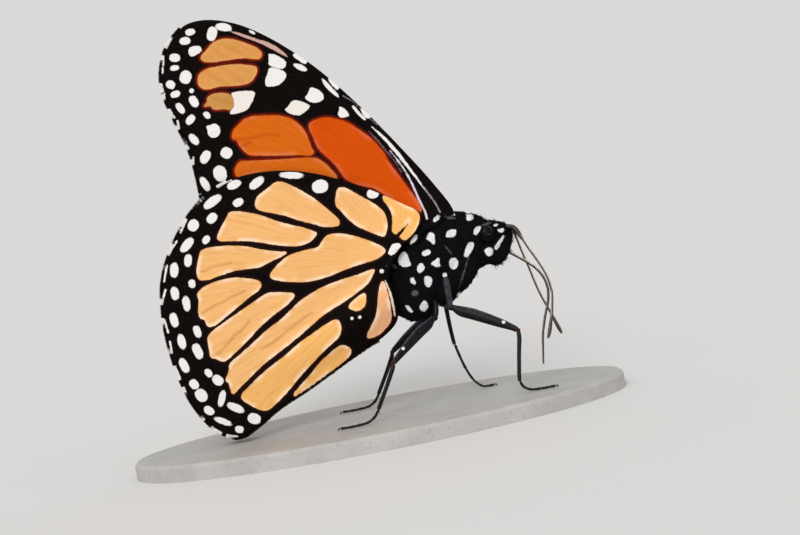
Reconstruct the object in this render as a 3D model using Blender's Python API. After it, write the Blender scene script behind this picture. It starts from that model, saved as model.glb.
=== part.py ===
# Monarch butterfly, life size, wings closed over its back, standing on a plain oval base.
# Sizes below are in millimetres and degrees; the model itself is in metres.
# The head points to +X, the right side faces -Y, up is +Z.
import bpy
import bmesh
import math
from mathutils import Vector

mm = 0.001

# --- base plate -----------------------------------------------------------------------
baseLength = 76.0
baseWidth = 42.0
baseThick = 2.5
baseEdge = 0.5            # bevel round the top edge
touchGap = 0.3            # clearance between pieces that rest on or fit each other

# --- body placement -------------------------------------------------------------------
bodyX = -1.0              # body shift so that the base is centred on the origin
footLevel = baseThick + touchGap

# --- wings ----------------------------------------------------------------------------
wingThick = 0.5
wingRest = 0.8            # distance of a closed forewing from the middle plane
wingStep = 0.95           # a hindwing lies this much outside its forewing
wingFlare = 0.6           # how far the wing tips lean out
foreBase = (16.1, 31.0)   # (x, z) where the forewing hinges
foreAngle = 139.9         # direction from hinge to wing tip
hindBase = (6.9, 25.2)
hindAngle = 178.5
thoraxBulge = (13.4, 24.6, 7.6, 3.7)          # x, z, reach and half width the wings clear
abdomenLine = ((8.0, 21.0), (-9.4, 13.2))     # from the waist to the tail, (x, z)
abdomenBulge = (3.1, 2.35)                    # its reach and half width

# wing outlines as (along, towards the front edge) from the hinge
foreOutline = [(-1.6, 1.2), (3.6, 3.6), (9.6, 5.6), (15.5, 7.4), (21.3, 8.9), (26.8, 10.0),
               (32.0, 10.5), (36.8, 10.5), (41.0, 9.9), (44.8, 8.4), (47.3, 6.2), (48.5, 3.0),
               (48.0, -0.7), (46.0, -4.3), (42.2, -7.4), (38.8, -9.7), (36.1, -12.2),
               (33.3, -15.4), (31.2, -18.3), (28.6, -18.9), (22.5, -16.2), (14.0, -12.6),
               (5.8, -8.4), (0.6, -5.0), (-1.2, -1.6)]
foreHub = (26.0, -2.0)
hindOutline = [(-6.2, 6.4), (-3.7, 8.4), (0.3, 11.0), (4.3, 13.2), (8.3, 15.0), (12.4, 16.2),
               (16.8, 16.7), (21.0, 16.4), (24.8, 15.2), (28.8, 12.1), (32.2, 7.6), (34.3, 3.3),
               (35.1, -1.1), (35.2, -5.8), (34.6, -10.8), (33.3, -15.8), (31.0, -20.0),
               (28.3, -22.3), (26.0, -22.7), (23.1, -21.3), (19.8, -19.3), (14.8, -17.05),
               (7.9, -13.6), (2.6, -11.0), (0.0, -8.6), (0.0, -5.0), (0.2, -1.8), (-2.0, 1.8),
               (-4.8, 3.9)]
hindHub = (18.0, -3.0)

# --- colours (red, green, blue), roughness --------------------------------------------
blackFur = ((0.012, 0.010, 0.012), 0.75)
blackShell = ((0.020, 0.020, 0.026), 0.35)
eyeBlack = ((0.006, 0.006, 0.008), 0.15)
foreOrange = ((0.62, 0.16, 0.02), 0.65)
hindOrange = ((0.86, 0.46, 0.15), 0.65)
darkHorn = ((0.030, 0.022, 0.020), 0.4)
paleStone = ((0.62, 0.61, 0.58), 0.55)


def makeMaterial(name, look, metallic=0.0):
    colour, roughness = look
    mat = bpy.data.materials.new(name)
    mat.use_nodes = True
    shader = mat.node_tree.nodes["Principled BSDF"]
    shader.inputs["Base Color"].default_value = (*colour, 1.0)
    shader.inputs["Roughness"].default_value = roughness
    shader.inputs["Metallic"].default_value = metallic
    mat.diffuse_color = (*colour, 1.0)
    return mat


def addObject(name, bm, look, smooth=True):
    # closes the bmesh into an object in metres, faces outward
    bmesh.ops.recalc_face_normals(bm, faces=bm.faces)
    if bm.calc_volume(signed=True) < 0:
        bmesh.ops.reverse_faces(bm, faces=bm.faces)
    for face in bm.faces:
        face.smooth = smooth
    mesh = bpy.data.meshes.new(name)
    bm.to_mesh(mesh)
    bm.free()
    mesh.materials.append(makeMaterial(name, look))
    obj = bpy.data.objects.new(name, mesh)
    bpy.context.scene.collection.objects.link(obj)
    return obj


def curvePoint(rows, t):
    # smooth curve through rows of numbers, t from 0 to len(rows) - 1
    last = len(rows) - 1
    i = min(int(t), last - 1)
    f = t - i
    before, here, after, beyond = (rows[max(i - 1, 0)], rows[i], rows[i + 1],
                                   rows[min(i + 2, last)])
    return [0.5 * (2 * b + (c - a) * f + (2 * a - 5 * b + 4 * c - d) * f * f
                   + (3 * b - a - 3 * c + d) * f ** 3)
            for a, b, c, d in zip(before, here, after, beyond)]


def closedCurve(points, perSpan):
    # the same curve round a closed outline
    count = len(points)
    ring = [points[-1]] + list(points) + [points[0], points[1]]
    return [curvePoint(ring, 1 + i + k / perSpan) for i in range(count) for k in range(perSpan)]


def loft(name, look, rows, sides, perSpan=2, square=2.0, caps=(0.6, 0.6), floor=None):
    # rows: x, y, z, half width across, height above, depth below (mm).
    # Sections stand across the path, with rounded ends and an optional flat floor.
    rows = [tuple(r) if len(r) == 6 else (r[0], r[1], r[2], r[3], r[3], r[3]) for r in rows]
    steps = (len(rows) - 1) * perSpan
    stations = [curvePoint(rows, i / perSpan) for i in range(steps + 1)]
    centres = [Vector(s[:3]) for s in stations]
    tangents = [(centres[min(i + 1, steps)] - centres[max(i - 1, 0)]).normalized()
                for i in range(steps + 1)]

    rings = []
    run = centres[-1] - centres[0]
    across = Vector((0, 1 if tangents[steps // 2].x < 0 else -1, 0))
    if abs(run.y) > max(abs(run.x), abs(run.z)):     # a piece that runs sideways
        across = Vector((1, 0, 0))
    def addRing(centre, tangent, sizes, scale):
        side = (across - tangent * across.dot(tangent)).normalized()
        up = side.cross(tangent)
        ring = []
        for k in range(sides):
            a = 2 * math.pi * k / sides
            c, s = math.cos(a), math.sin(a)
            c = math.copysign(abs(c) ** (2 / square), c)
            s = math.copysign(abs(s) ** (2 / square), s)
            p = centre + side * (sizes[0] * scale * c)
            p = p + up * ((sizes[1] if s > 0 else sizes[2]) * scale * s)
            ring.append(p)
        rings.append(ring)

    first, last = stations[0][3:], stations[-1][3:]
    for angle in (60, 30):
        a = math.radians(angle)
        addRing(centres[0] - tangents[0] * (min(first) * caps[0] * math.sin(a)), tangents[0],
                first, math.cos(a))
    for c, t, s in zip(centres, tangents, stations):
        addRing(c, t, s[3:], 1.0)
    for angle in (30, 60):
        a = math.radians(angle)
        addRing(centres[-1] + tangents[-1] * (min(last) * caps[1] * math.sin(a)), tangents[-1],
                last, math.cos(a))
    poles = [centres[0] - tangents[0] * (min(first) * caps[0]),
             centres[-1] + tangents[-1] * (min(last) * caps[1])]

    bm = bmesh.new()
    def vert(p):
        z = p.z if floor is None else max(p.z, floor)
        return bm.verts.new((p.x * mm, p.y * mm, z * mm))
    grid = [[vert(p) for p in ring] for ring in rings]
    ends = [vert(p) for p in poles]
    for lower, upper in zip(grid, grid[1:]):
        for k in range(sides):
            n = (k + 1) % sides
            bm.faces.new((lower[k], lower[n], upper[n], upper[k]))
    for k in range(sides):
        n = (k + 1) % sides
        bm.faces.new((ends[0], grid[0][n], grid[0][k]))
        bm.faces.new((ends[1], grid[-1][k], grid[-1][n]))
    return addObject(name, bm, look)


def mirrored(rows):
    return [(r[0], -r[1]) + tuple(r[2:]) for r in rows]


def shifted(rows):
    return [(r[0] + bodyX,) + tuple(r[1:]) for r in rows]


# --- wings ----------------------------------------------------------------------------
def wingOffset(x, z, layer):
    # distance of the wing's middle surface from the body's middle plane: the wings
    # lie close together and swell round the thorax and the abdomen
    cx, cz, reach, half = thoraxBulge
    d = math.hypot(x - cx, z - cz)
    swell = (half + 0.45) * math.exp(-(d / (reach * 1.2)) ** 2)
    if layer == 1:
        a, b = Vector(abdomenLine[0]), Vector(abdomenLine[1])
        line = b - a
        t = max(0.0, min(1.0, (Vector((x, z)) - a).dot(line) / line.length_squared))
        d = (Vector((x, z)) - a - line * t).length
        reach, half = abdomenBulge
        swell = max(swell, (half + 0.2) * (1 - 0.35 * t) * math.exp(-(d / (reach * 1.3)) ** 2))
    flare = wingFlare * max(0.0, (math.hypot(x - cx, z - cz) - 18) / 34) ** 2
    return (wingRest ** 4 + swell ** 4) ** 0.25 + flare + wingStep * layer


def makeWing(name, look, outline, hub, base, angle, side, layer):
    # a thin plate from its outline, in rings that shrink towards the hub
    a = math.radians(angle)
    along, front = (math.cos(a), math.sin(a)), (math.sin(a), -math.cos(a))
    edge = closedCurve(outline, 2)
    shrink = [1.0, 0.87, 0.7, 0.48, 0.22]
    rest = 1.0 if side > 0 else -1.0

    def place(u, v, outer):
        x = base[0] + along[0] * u + front[0] * v
        z = base[1] + along[1] * u + front[1] * v
        y = wingOffset(x, z, layer) + (0.5 if outer else -0.5) * wingThick
        return ((x + bodyX) * mm, y * rest * mm, z * mm)

    bm = bmesh.new()
    faces = {}
    for outer in (True, False):
        rings = [[bm.verts.new(place(hub[0] + (u - hub[0]) * k, hub[1] + (v - hub[1]) * k, outer))
                  for u, v in edge] for k in shrink]
        centre = bm.verts.new(place(hub[0], hub[1], outer))
        for big, small in zip(rings, rings[1:]):
            for i in range(len(edge)):
                j = (i + 1) % len(edge)
                bm.faces.new((big[i], big[j], small[j], small[i]))
        for i in range(len(edge)):
            bm.faces.new((rings[-1][i], rings[-1][(i + 1) % len(edge)], centre))
        faces[outer] = rings[0]
    for i in range(len(edge)):
        j = (i + 1) % len(edge)
        bm.faces.new((faces[True][i], faces[True][j], faces[False][j], faces[False][i]))
    return addObject(name, bm, look)


# --- base -----------------------------------------------------------------------------
def makeBase():
    count = 60
    bm = bmesh.new()
    rings = []
    for inset, z in ((0.0, 0.0), (0.0, baseThick - baseEdge), (baseEdge, baseThick)):
        ring = []
        for k in range(count):
            a = 2 * math.pi * k / count
            ring.append(bm.verts.new(((baseLength / 2 - inset) * math.cos(a) * mm,
                                      (baseWidth / 2 - inset) * math.sin(a) * mm, z * mm)))
        rings.append(ring)
    for low, high in zip(rings, rings[1:]):
        for k in range(count):
            n = (k + 1) % count
            bm.faces.new((low[k], low[n], high[n], high[k]))
    bm.faces.new(list(reversed(rings[0])))
    bm.faces.new(rings[-1])
    return addObject("stand_base", bm, paleStone, smooth=False)


for old in list(bpy.data.objects):
    bpy.data.objects.remove(old, do_unlink=True)

makeBase()

# --- trunk: thorax, abdomen, head -----------------------------------------------------
thorax = [(6.4, 0, 20.3, 1.9, 4.0, 3.2), (7.6, 0, 20.8, 2.6, 5.5, 4.7),
          (9.4, 0, 21.7, 3.3, 6.7, 6.5), (12.1, 0, 23.0, 3.7, 6.9, 7.0),
          (14.8, 0, 24.3, 3.7, 6.6, 4.7), (17.0, 0, 25.4, 3.3, 5.8, 3.9),
          (18.6, 0, 26.2, 2.8, 4.85, 3.7), (19.85, 0, 26.5, 2.3, 4.1, 3.6)]
loft("thorax", blackFur, shifted(thorax), 20, caps=(0.25, 0.25))

abdomen = [(-8.8, 0, 13.4, 1.1, 1.2, 1.2), (-6.6, 0, 14.4, 1.8, 2.0, 2.0),
           (-3.0, 0, 16.0, 2.3, 2.6, 2.6), (0.8, 0, 17.7, 2.4, 2.9, 2.9),
           (3.6, 0, 18.9, 2.3, 2.9, 3.0), (5.3, 0, 19.7, 1.9, 2.4, 2.6)]
loft("abdomen", blackFur, shifted(abdomen), 16, caps=(0.6, 0.15))

head = [(21.2, 0, 26.9, 1.8, 3.1, 3.2), (22.2, 0, 26.9, 1.8, 2.65, 3.1),
        (23.3, 0, 26.8, 1.8, 2.0, 2.7), (24.4, 0, 26.5, 1.6, 1.8, 2.1),
        (25.4, 0, 26.2, 1.25, 1.75, 1.5), (26.0, 0, 26.0, 0.9, 1.2, 1.1)]
loft("head", blackFur, shifted(head), 16, square=2.4, caps=(0.2, 0.6))

# each eye is a dome on the side of the head
eye = [(22.45, -2.12, 26.5, 1.34), (22.45, -2.4, 26.5, 1.42), (22.45, -2.68, 26.5, 1.16),
       (22.45, -2.85, 26.5, 0.76)]


def makeEye(name, side):
    bm = bmesh.new()
    count = 16
    rings = []
    for x, y, z, r in shifted(eye):
        ring = []
        for k in range(count):
            a = 2 * math.pi * k / count
            ring.append(bm.verts.new(((x + r * math.cos(a)) * mm, y * side * mm,
                                      (z + r * 1.08 * math.sin(a)) * mm)))
        rings.append(ring)
    for low, high in zip(rings, rings[1:]):
        for k in range(count):
            n = (k + 1) % count
            bm.faces.new((low[k], low[n], high[n], high[k]))
    bm.faces.new(rings[0])
    top = bm.verts.new(((eye[-1][0] + bodyX) * mm, (eye[-1][1] - 0.14) * side * mm,
                        eye[-1][2] * mm))
    for k in range(count):
        bm.faces.new((rings[-1][k], rings[-1][(k + 1) % count], top))
    return addObject(name, bm, eyeBlack)


makeEye("eye_right", 1)
makeEye("eye_left", -1)

# --- mouth parts and feelers ----------------------------------------------------------
palp = [(21.8, -1.1, 22.75, 0.55), (22.8, -1.1, 22.6, 0.88, 1.1, 1.15),
        (23.9, -1.1, 22.95, 0.88, 0.95, 0.98), (24.8, -1.0, 23.6, 0.75), (25.5, -0.9, 24.15, 0.5)]
proboscis = [(25.3, 0, 22.8, 0.3), (27.7, 0, 21.2, 0.3), (29.2, 0.1, 19.5, 0.29),
             (30.0, 0.1, 17.4, 0.28), (29.8, 0.1, 15.0, 0.27), (28.8, 0, 12.4, 0.27),
             (28.0, -0.1, 9.9, 0.27), (27.6, -0.2, 7.7, 0.26), (27.2, -0.3, 5.4, 0.25)]
antennaRight = [(26.9, -0.97, 27.0, 0.30), (27.15, -1.15, 25.9, 0.26), (28.2, -1.4, 23.3, 0.26),
                (29.3, -1.6, 20.9, 0.26), (30.1, -1.8, 18.7, 0.26), (30.4, -1.9, 16.3, 0.26),
                (30.0, -2.1, 13.9, 0.28), (29.3, -2.3, 11.4, 0.36), (28.5, -2.4, 9.4, 0.34)]
antennaLeft = [(26.88, 0.97, 27.0, 0.30), (26.9, 1.3, 25.6, 0.26), (27.3, 1.7, 22.9, 0.26),
               (27.9, 1.9, 20.3, 0.26), (28.5, 2.2, 17.4, 0.26), (29.1, 2.4, 15.2, 0.26),
               (29.8, 2.6, 13.2, 0.28), (30.5, 2.8, 11.0, 0.36), (31.1, 2.9, 9.2, 0.34)]
loft("palp_right", blackFur, shifted(palp), 8, perSpan=1)
loft("palp_left", blackFur, shifted(mirrored(palp)), 8, perSpan=1)
loft("proboscis", darkHorn, shifted(proboscis), 6)
loft("antenna_right", darkHorn, shifted(antennaRight), 6)
loft("antenna_left", darkHorn, shifted(antennaLeft), 6)

# --- legs -----------------------------------------------------------------------------
# The front pair is small and folded against the chest; the other four stand.
foreLeg = [(20.3, -1.7, 22.0, 0.6), (19.4, -1.9, 21.3, 0.92), (18.3, -2.0, 20.35, 0.95),
           (17.3, -1.9, 19.45, 0.85), (16.6, -1.7, 18.8, 0.5)]
loft("foreleg_right", blackFur, shifted(foreLeg), 8)
loft("foreleg_left", blackFur, shifted(mirrored(foreLeg)), 8)

midRight = {
    "femur": [(15.2, -3.0, 16.7, 0.5), (18.0, -3.8, 15.2, 0.7, 0.95, 0.9),
              (21.3, -4.6, 13.45, 0.6, 0.8, 0.75), (23.9, -5.2, 12.0, 0.4)],
    "tibia": [(24.1, -5.4, 11.1, 0.36), (23.5, -6.1, 8.0, 0.34), (22.8, -6.8, 4.9, 0.32)],
    "tarsus": [(23.0, -7.1, 4.1, 0.28), (23.9, -7.3, 3.3, 0.27), (25.4, -7.5, 3.0, 0.27),
               (27.6, -7.7, 3.0, 0.27)]}
midLeft = {
    "femur": [(14.8, 3.0, 16.5, 0.55), (14.5, 5.6, 16.9, 0.95, 0.7, 0.7),
              (14.3, 8.6, 17.1, 0.8, 0.6, 0.6), (14.3, 11.2, 16.9, 0.42)],
    "tibia": [(14.45, 11.4, 16.0, 0.36), (14.45, 10.4, 13.3, 0.34), (14.55, 9.1, 10.5, 0.32)],
    "tarsus": [(14.7, 8.8, 9.7, 0.28), (15.6, 8.2, 6.2, 0.27), (16.6, 7.8, 3.8, 0.27),
               (17.8, 7.5, 3.0, 0.27), (19.2, 7.3, 3.0, 0.27)]}
hindRight = {
    "femur": [(11.6, -3.0, 15.2, 0.55), (10.0, -4.4, 14.5, 0.7, 0.95, 0.9),
              (7.6, -6.4, 12.9, 0.6, 0.8, 0.75), (5.3, -8.0, 11.2, 0.42)],
    "tibia": [(4.7, -8.3, 10.4, 0.38), (3.2, -8.6, 7.6, 0.36), (1.6, -8.9, 4.9, 0.32)],
    "tarsus": [(1.0, -9.0, 4.1, 0.28), (-0.2, -9.1, 3.3, 0.27), (-2.0, -9.2, 3.0, 0.27),
               (-4.4, -9.3, 3.0, 0.27)]}
legs = {"midleg_right": midRight, "midleg_left": midLeft, "hindleg_right": hindRight,
        "hindleg_left": {part: mirrored(rows) for part, rows in hindRight.items()}}
for leg, parts in legs.items():
    for part, rows in parts.items():
        loft(leg + "_" + part, blackShell, shifted(rows), 8 if part == "femur" else 6,
             floor=footLevel if part == "tarsus" else None)

# --- four wings -----------------------------------------------------------------------
for name, side in (("right", -1), ("left", 1)):
    makeWing("forewing_" + name, foreOrange, foreOutline, foreHub, foreBase, foreAngle, side, 0)
    makeWing("hindwing_" + name, hindOrange, hindOutline, hindHub, hindBase, hindAngle, side, 1)
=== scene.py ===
import math
import bpy
import numpy as np
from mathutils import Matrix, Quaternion, Vector
from mathutils.geometry import delaunay_2d_cdt


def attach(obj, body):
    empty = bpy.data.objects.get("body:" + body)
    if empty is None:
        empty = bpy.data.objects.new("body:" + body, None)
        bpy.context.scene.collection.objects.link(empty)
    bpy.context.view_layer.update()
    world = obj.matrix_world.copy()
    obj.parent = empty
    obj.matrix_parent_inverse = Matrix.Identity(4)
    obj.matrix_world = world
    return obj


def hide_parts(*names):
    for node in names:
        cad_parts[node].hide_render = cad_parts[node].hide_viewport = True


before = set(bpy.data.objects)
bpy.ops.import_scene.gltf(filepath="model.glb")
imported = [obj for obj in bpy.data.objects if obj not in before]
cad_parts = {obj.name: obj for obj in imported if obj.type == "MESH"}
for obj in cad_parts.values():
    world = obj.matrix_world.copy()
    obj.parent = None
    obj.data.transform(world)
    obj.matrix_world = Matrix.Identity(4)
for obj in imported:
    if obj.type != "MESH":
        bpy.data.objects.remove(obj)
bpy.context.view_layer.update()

# A still, life-size monarch butterfly with its wings closed, on an oval base.
# All sizes in this file are in millimetres, and a piece turns them into metres as it is made.
# x runs forward along the animal, y to its left, z up. shiftX sets the animal over its base.
mm = 0.001
shiftX = -1.0
farOff = 9.0  # the distance to a marking that is nowhere near

stage = dict(
    worldLight=0.70, worldColour=(1, 0.995, 0.985, 1),  # even light from all round
    sunLight=1.48, sunSoftness=30, sunFrom=(-0.16, -0.85, 0.52),
    floorSize=6000, floorColours=((222, 221, 220), (226, 225, 224)),
)

view = dict(
    aim=(7.5, 0.0, 24.05), distance=300.0, wide=121.9, above=3.5, roll=-11.0,
    sensor=36, clip=(0.01, 60),  # the clip is in metres
)


def linear(colour):
    # a 0 to 255 screen colour as the linear colour that materials take
    c = np.array(colour, float) / 255
    return np.where(c < 0.04045, c / 12.92, ((c + 0.055) / 1.055) ** 2.4)


def unit(v):
    return v / np.maximum(np.linalg.norm(v, axis=-1, keepdims=True), 1e-6)


def smoothPath(rows, steps, closed=False):
    # a smooth line through the rows, which may be points of any number of values
    rows = np.array(rows, float)
    if closed:
        near = [np.roll(rows, s, axis=0) for s in (1, 0, -1, -2)]
    else:
        far = np.vstack([2 * rows[0] - rows[1], rows, 2 * rows[-1] - rows[-2]])
        near = [far[k:len(rows) - 1 + k] for k in range(4)]
    a, b, c, d = [n[:, None, :] for n in near]
    t = (np.arange(steps) / steps)[None, :, None]
    line = 0.5 * (2 * b + (c - a) * t + (2 * a - 5 * b + 4 * c - d) * t ** 2
                  + (3 * b - a - 3 * c + d) * t ** 3)
    line = line.reshape(-1, rows.shape[1])
    return line if closed else np.vstack([line, rows[-1]])


def evenly(line, gap, closed=False):
    # the same line with its points a steady distance apart
    if closed:
        line = np.vstack([line, line[:1]])
    along = np.r_[0, np.cumsum(np.linalg.norm(np.diff(line, axis=0), axis=1))]
    want = np.linspace(0, along[-1], max(3, int(round(along[-1] / gap))) + 1)
    if closed:
        want = want[:-1]
    return np.stack([np.interp(want, along, line[:, k]) for k in range(line.shape[1])], 1)


def ramp(value, low, high):
    t = np.clip((value - low) / (high - low), 0, 1)
    return t * t * (3 - 2 * t)


def readOut(items, what, width, kind=float):
    # one value of each item of a mesh, with so many numbers a row
    values = np.zeros(len(items) * width, kind)
    items.foreach_get(what, values)
    return values.reshape(-1, width)


def makeMesh(name, points, faces, fields=None, uv=None, shift=(shiftX, 0, 0)):
    # fields are values kept on the points for the material: one number, three, or a colour where named tint
    mesh = bpy.data.meshes.new(name)
    mesh.from_pydata(((np.asarray(points, float) + shift) * mm).tolist(), [], faces)
    mesh.update()
    for key, values in (fields or {}).items():
        values = np.asarray(values, np.float32)
        if key.startswith("tint"):
            kind, part = "FLOAT_COLOR", "color"
            values = np.c_[values, np.ones(len(values), np.float32)]
        elif values.ndim == 2:
            kind, part = "FLOAT_VECTOR", "vector"
        else:
            kind, part = "FLOAT", "value"
        mesh.attributes.new(key, kind, "POINT").data.foreach_set(part, values.ravel())
    if uv is not None:
        corner = readOut(mesh.loops, "vertex_index", 1, np.int32)[:, 0]
        mesh.uv_layers.new(name="OFBake").data.foreach_set("uv", np.asarray(uv, np.float32)[corner].ravel())
    mesh.shade_smooth()
    return mesh


def place(name, data):
    made = bpy.data.objects.new(name, data)
    bpy.context.scene.collection.objects.link(made)
    return made


def addPiece(name, mesh, material, replaced=()):
    piece = place(name, mesh)
    mesh.materials.append(material)
    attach(piece, "root")
    if replaced:
        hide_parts(*replaced)
    return piece


def node(tree, kind, inputs=None, **settings):
    made = tree.nodes.new("ShaderNode" + kind)
    for key, value in settings.items():
        setattr(made, key, value)
    for key, value in (inputs or {}).items():
        if isinstance(value, bpy.types.NodeSocket):
            tree.links.new(value, made.inputs[key])
        else:
            made.inputs[key].default_value = value
    return made


def field(tree, name, out="Fac"):
    return node(tree, "Attribute", attribute_name=name).outputs[out]


def objectPlace(tree):
    return node(tree, "TexCoord").outputs["Object"]


def between(tree, value, low, high):
    # 0 below low, 1 above high
    return node(tree, "MapRange", {"Value": value, "From Min": low, "From Max": high},
                interpolation_type="SMOOTHSTEP").outputs["Result"]


def plus(tree, a, b):
    return node(tree, "Math", {0: a, 1: b}, operation="ADD").outputs[0]


def times(tree, a, b):
    return node(tree, "Math", {0: a, 1: b}, operation="MULTIPLY").outputs[0]


def wobble(tree, value, size):
    # a value of 0 to 1 as a small push up or down
    return times(tree, node(tree, "Math", {0: value, 1: 0.5}, operation="SUBTRACT").outputs[0], size)


def mix(tree, amount, a, b):
    # a and b are sockets or screen colours
    a, b = [(*linear(c).tolist(), 1.0) if isinstance(c, tuple) else c for c in (a, b)]
    return node(tree, "Mix", {0: amount, 6: a, 7: b}, data_type="RGBA").outputs[2]


def mixTint(tree, amount, colour, share):
    # multiplies the colour by a share of red, green and blue, where amount says so
    darker = node(tree, "Mix", {0: 1.0, 6: colour, 7: (*share, 1)}, data_type="RGBA", blend_type="MULTIPLY").outputs[2]
    return mix(tree, amount, colour, darker)


def stretched(tree, vector, scale):
    return node(tree, "Mapping", {"Vector": vector, "Scale": scale}).outputs[0]


def noise(tree, vector, scale, detail=2.0, rough=0.5):
    return node(tree, "TexNoise", {"Vector": vector, "Scale": scale, "Detail": detail,
                                   "Roughness": rough}).outputs["Fac"]


def scaleCells(tree, vector, scale, feature="F1", random=1.0):
    return node(tree, "TexVoronoi", {"Vector": vector, "Scale": scale, "Randomness": random},
                feature=feature).outputs["Distance"]


def newMaterial(name, **numbers):
    # a material whose shader numbers are plain values, such as Roughness=0.5
    made = bpy.data.materials.new(name)
    made.use_nodes = True
    shader = made.node_tree.nodes["Principled BSDF"]
    for key, value in numbers.items():
        shader.inputs[key.replace("_", " ")].default_value = value
    return made, made.node_tree, shader


def paint(tree, shader, colour):
    tree.links.new(colour, shader.inputs["Base Color"])


def bump(tree, shader, height, deep, strength=1.0):
    # deep is in millimetres
    made = node(tree, "Bump", {"Height": height, "Strength": strength, "Distance": deep * mm})
    tree.links.new(made.outputs[0], shader.inputs["Normal"])


def makeStage():
    aim = Vector(view["aim"]) * mm
    up = math.radians(view["above"])
    away = Vector((0, -math.cos(up), math.sin(up)))
    camera = bpy.data.cameras.new("camera")
    camera.sensor_width = view["sensor"]
    camera.lens = view["sensor"] * view["distance"] / view["wide"]
    camera.clip_start, camera.clip_end = view["clip"]
    holder = place("camera", camera)
    holder.rotation_mode = "QUATERNION"
    holder.location = aim + away * view["distance"] * mm
    # the camera rolls, so that the base stays level under an animal that leans back
    roll = Quaternion((0, 0, 1), math.radians(view["roll"]))
    holder.rotation_quaternion = (-away).to_track_quat("-Z", "Y") @ roll
    bpy.context.scene.camera = holder

    world = bpy.data.worlds.new("studio")
    world.use_nodes = True
    light = world.node_tree.nodes["Background"].inputs
    light["Color"].default_value = stage["worldColour"]
    light["Strength"].default_value = stage["worldLight"]
    bpy.context.scene.world = world

    sun = bpy.data.lights.new("sun", "SUN")
    sun.energy = stage["sunLight"]
    sun.angle = math.radians(stage["sunSoftness"])
    sunHolder = place("sun", sun)
    sunHolder.rotation_mode = "QUATERNION"
    sunHolder.rotation_quaternion = Vector(stage["sunFrom"]).to_track_quat("Z", "Y")

    half = stage["floorSize"] / 2
    floor = makeMesh("floor", [(-half, -half, 0), (half, -half, 0), (half, half, 0), (-half, half, 0)],
                     [(0, 1, 2, 3)], shift=(0, 0, 0))
    made, tree, shader = newMaterial("floorPaint", Roughness=0.9)
    grain = noise(tree, objectPlace(tree), 900.0, 3.0)
    paint(tree, shader, mix(tree, grain, *stage["floorColours"]))
    floor.materials.append(made)
    place("floor", floor)
    bpy.context.scene.view_settings.view_transform = "Standard"
    bpy.context.scene.view_settings.look = "None"


makeStage()
print("camera, light and floor are set")


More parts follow.
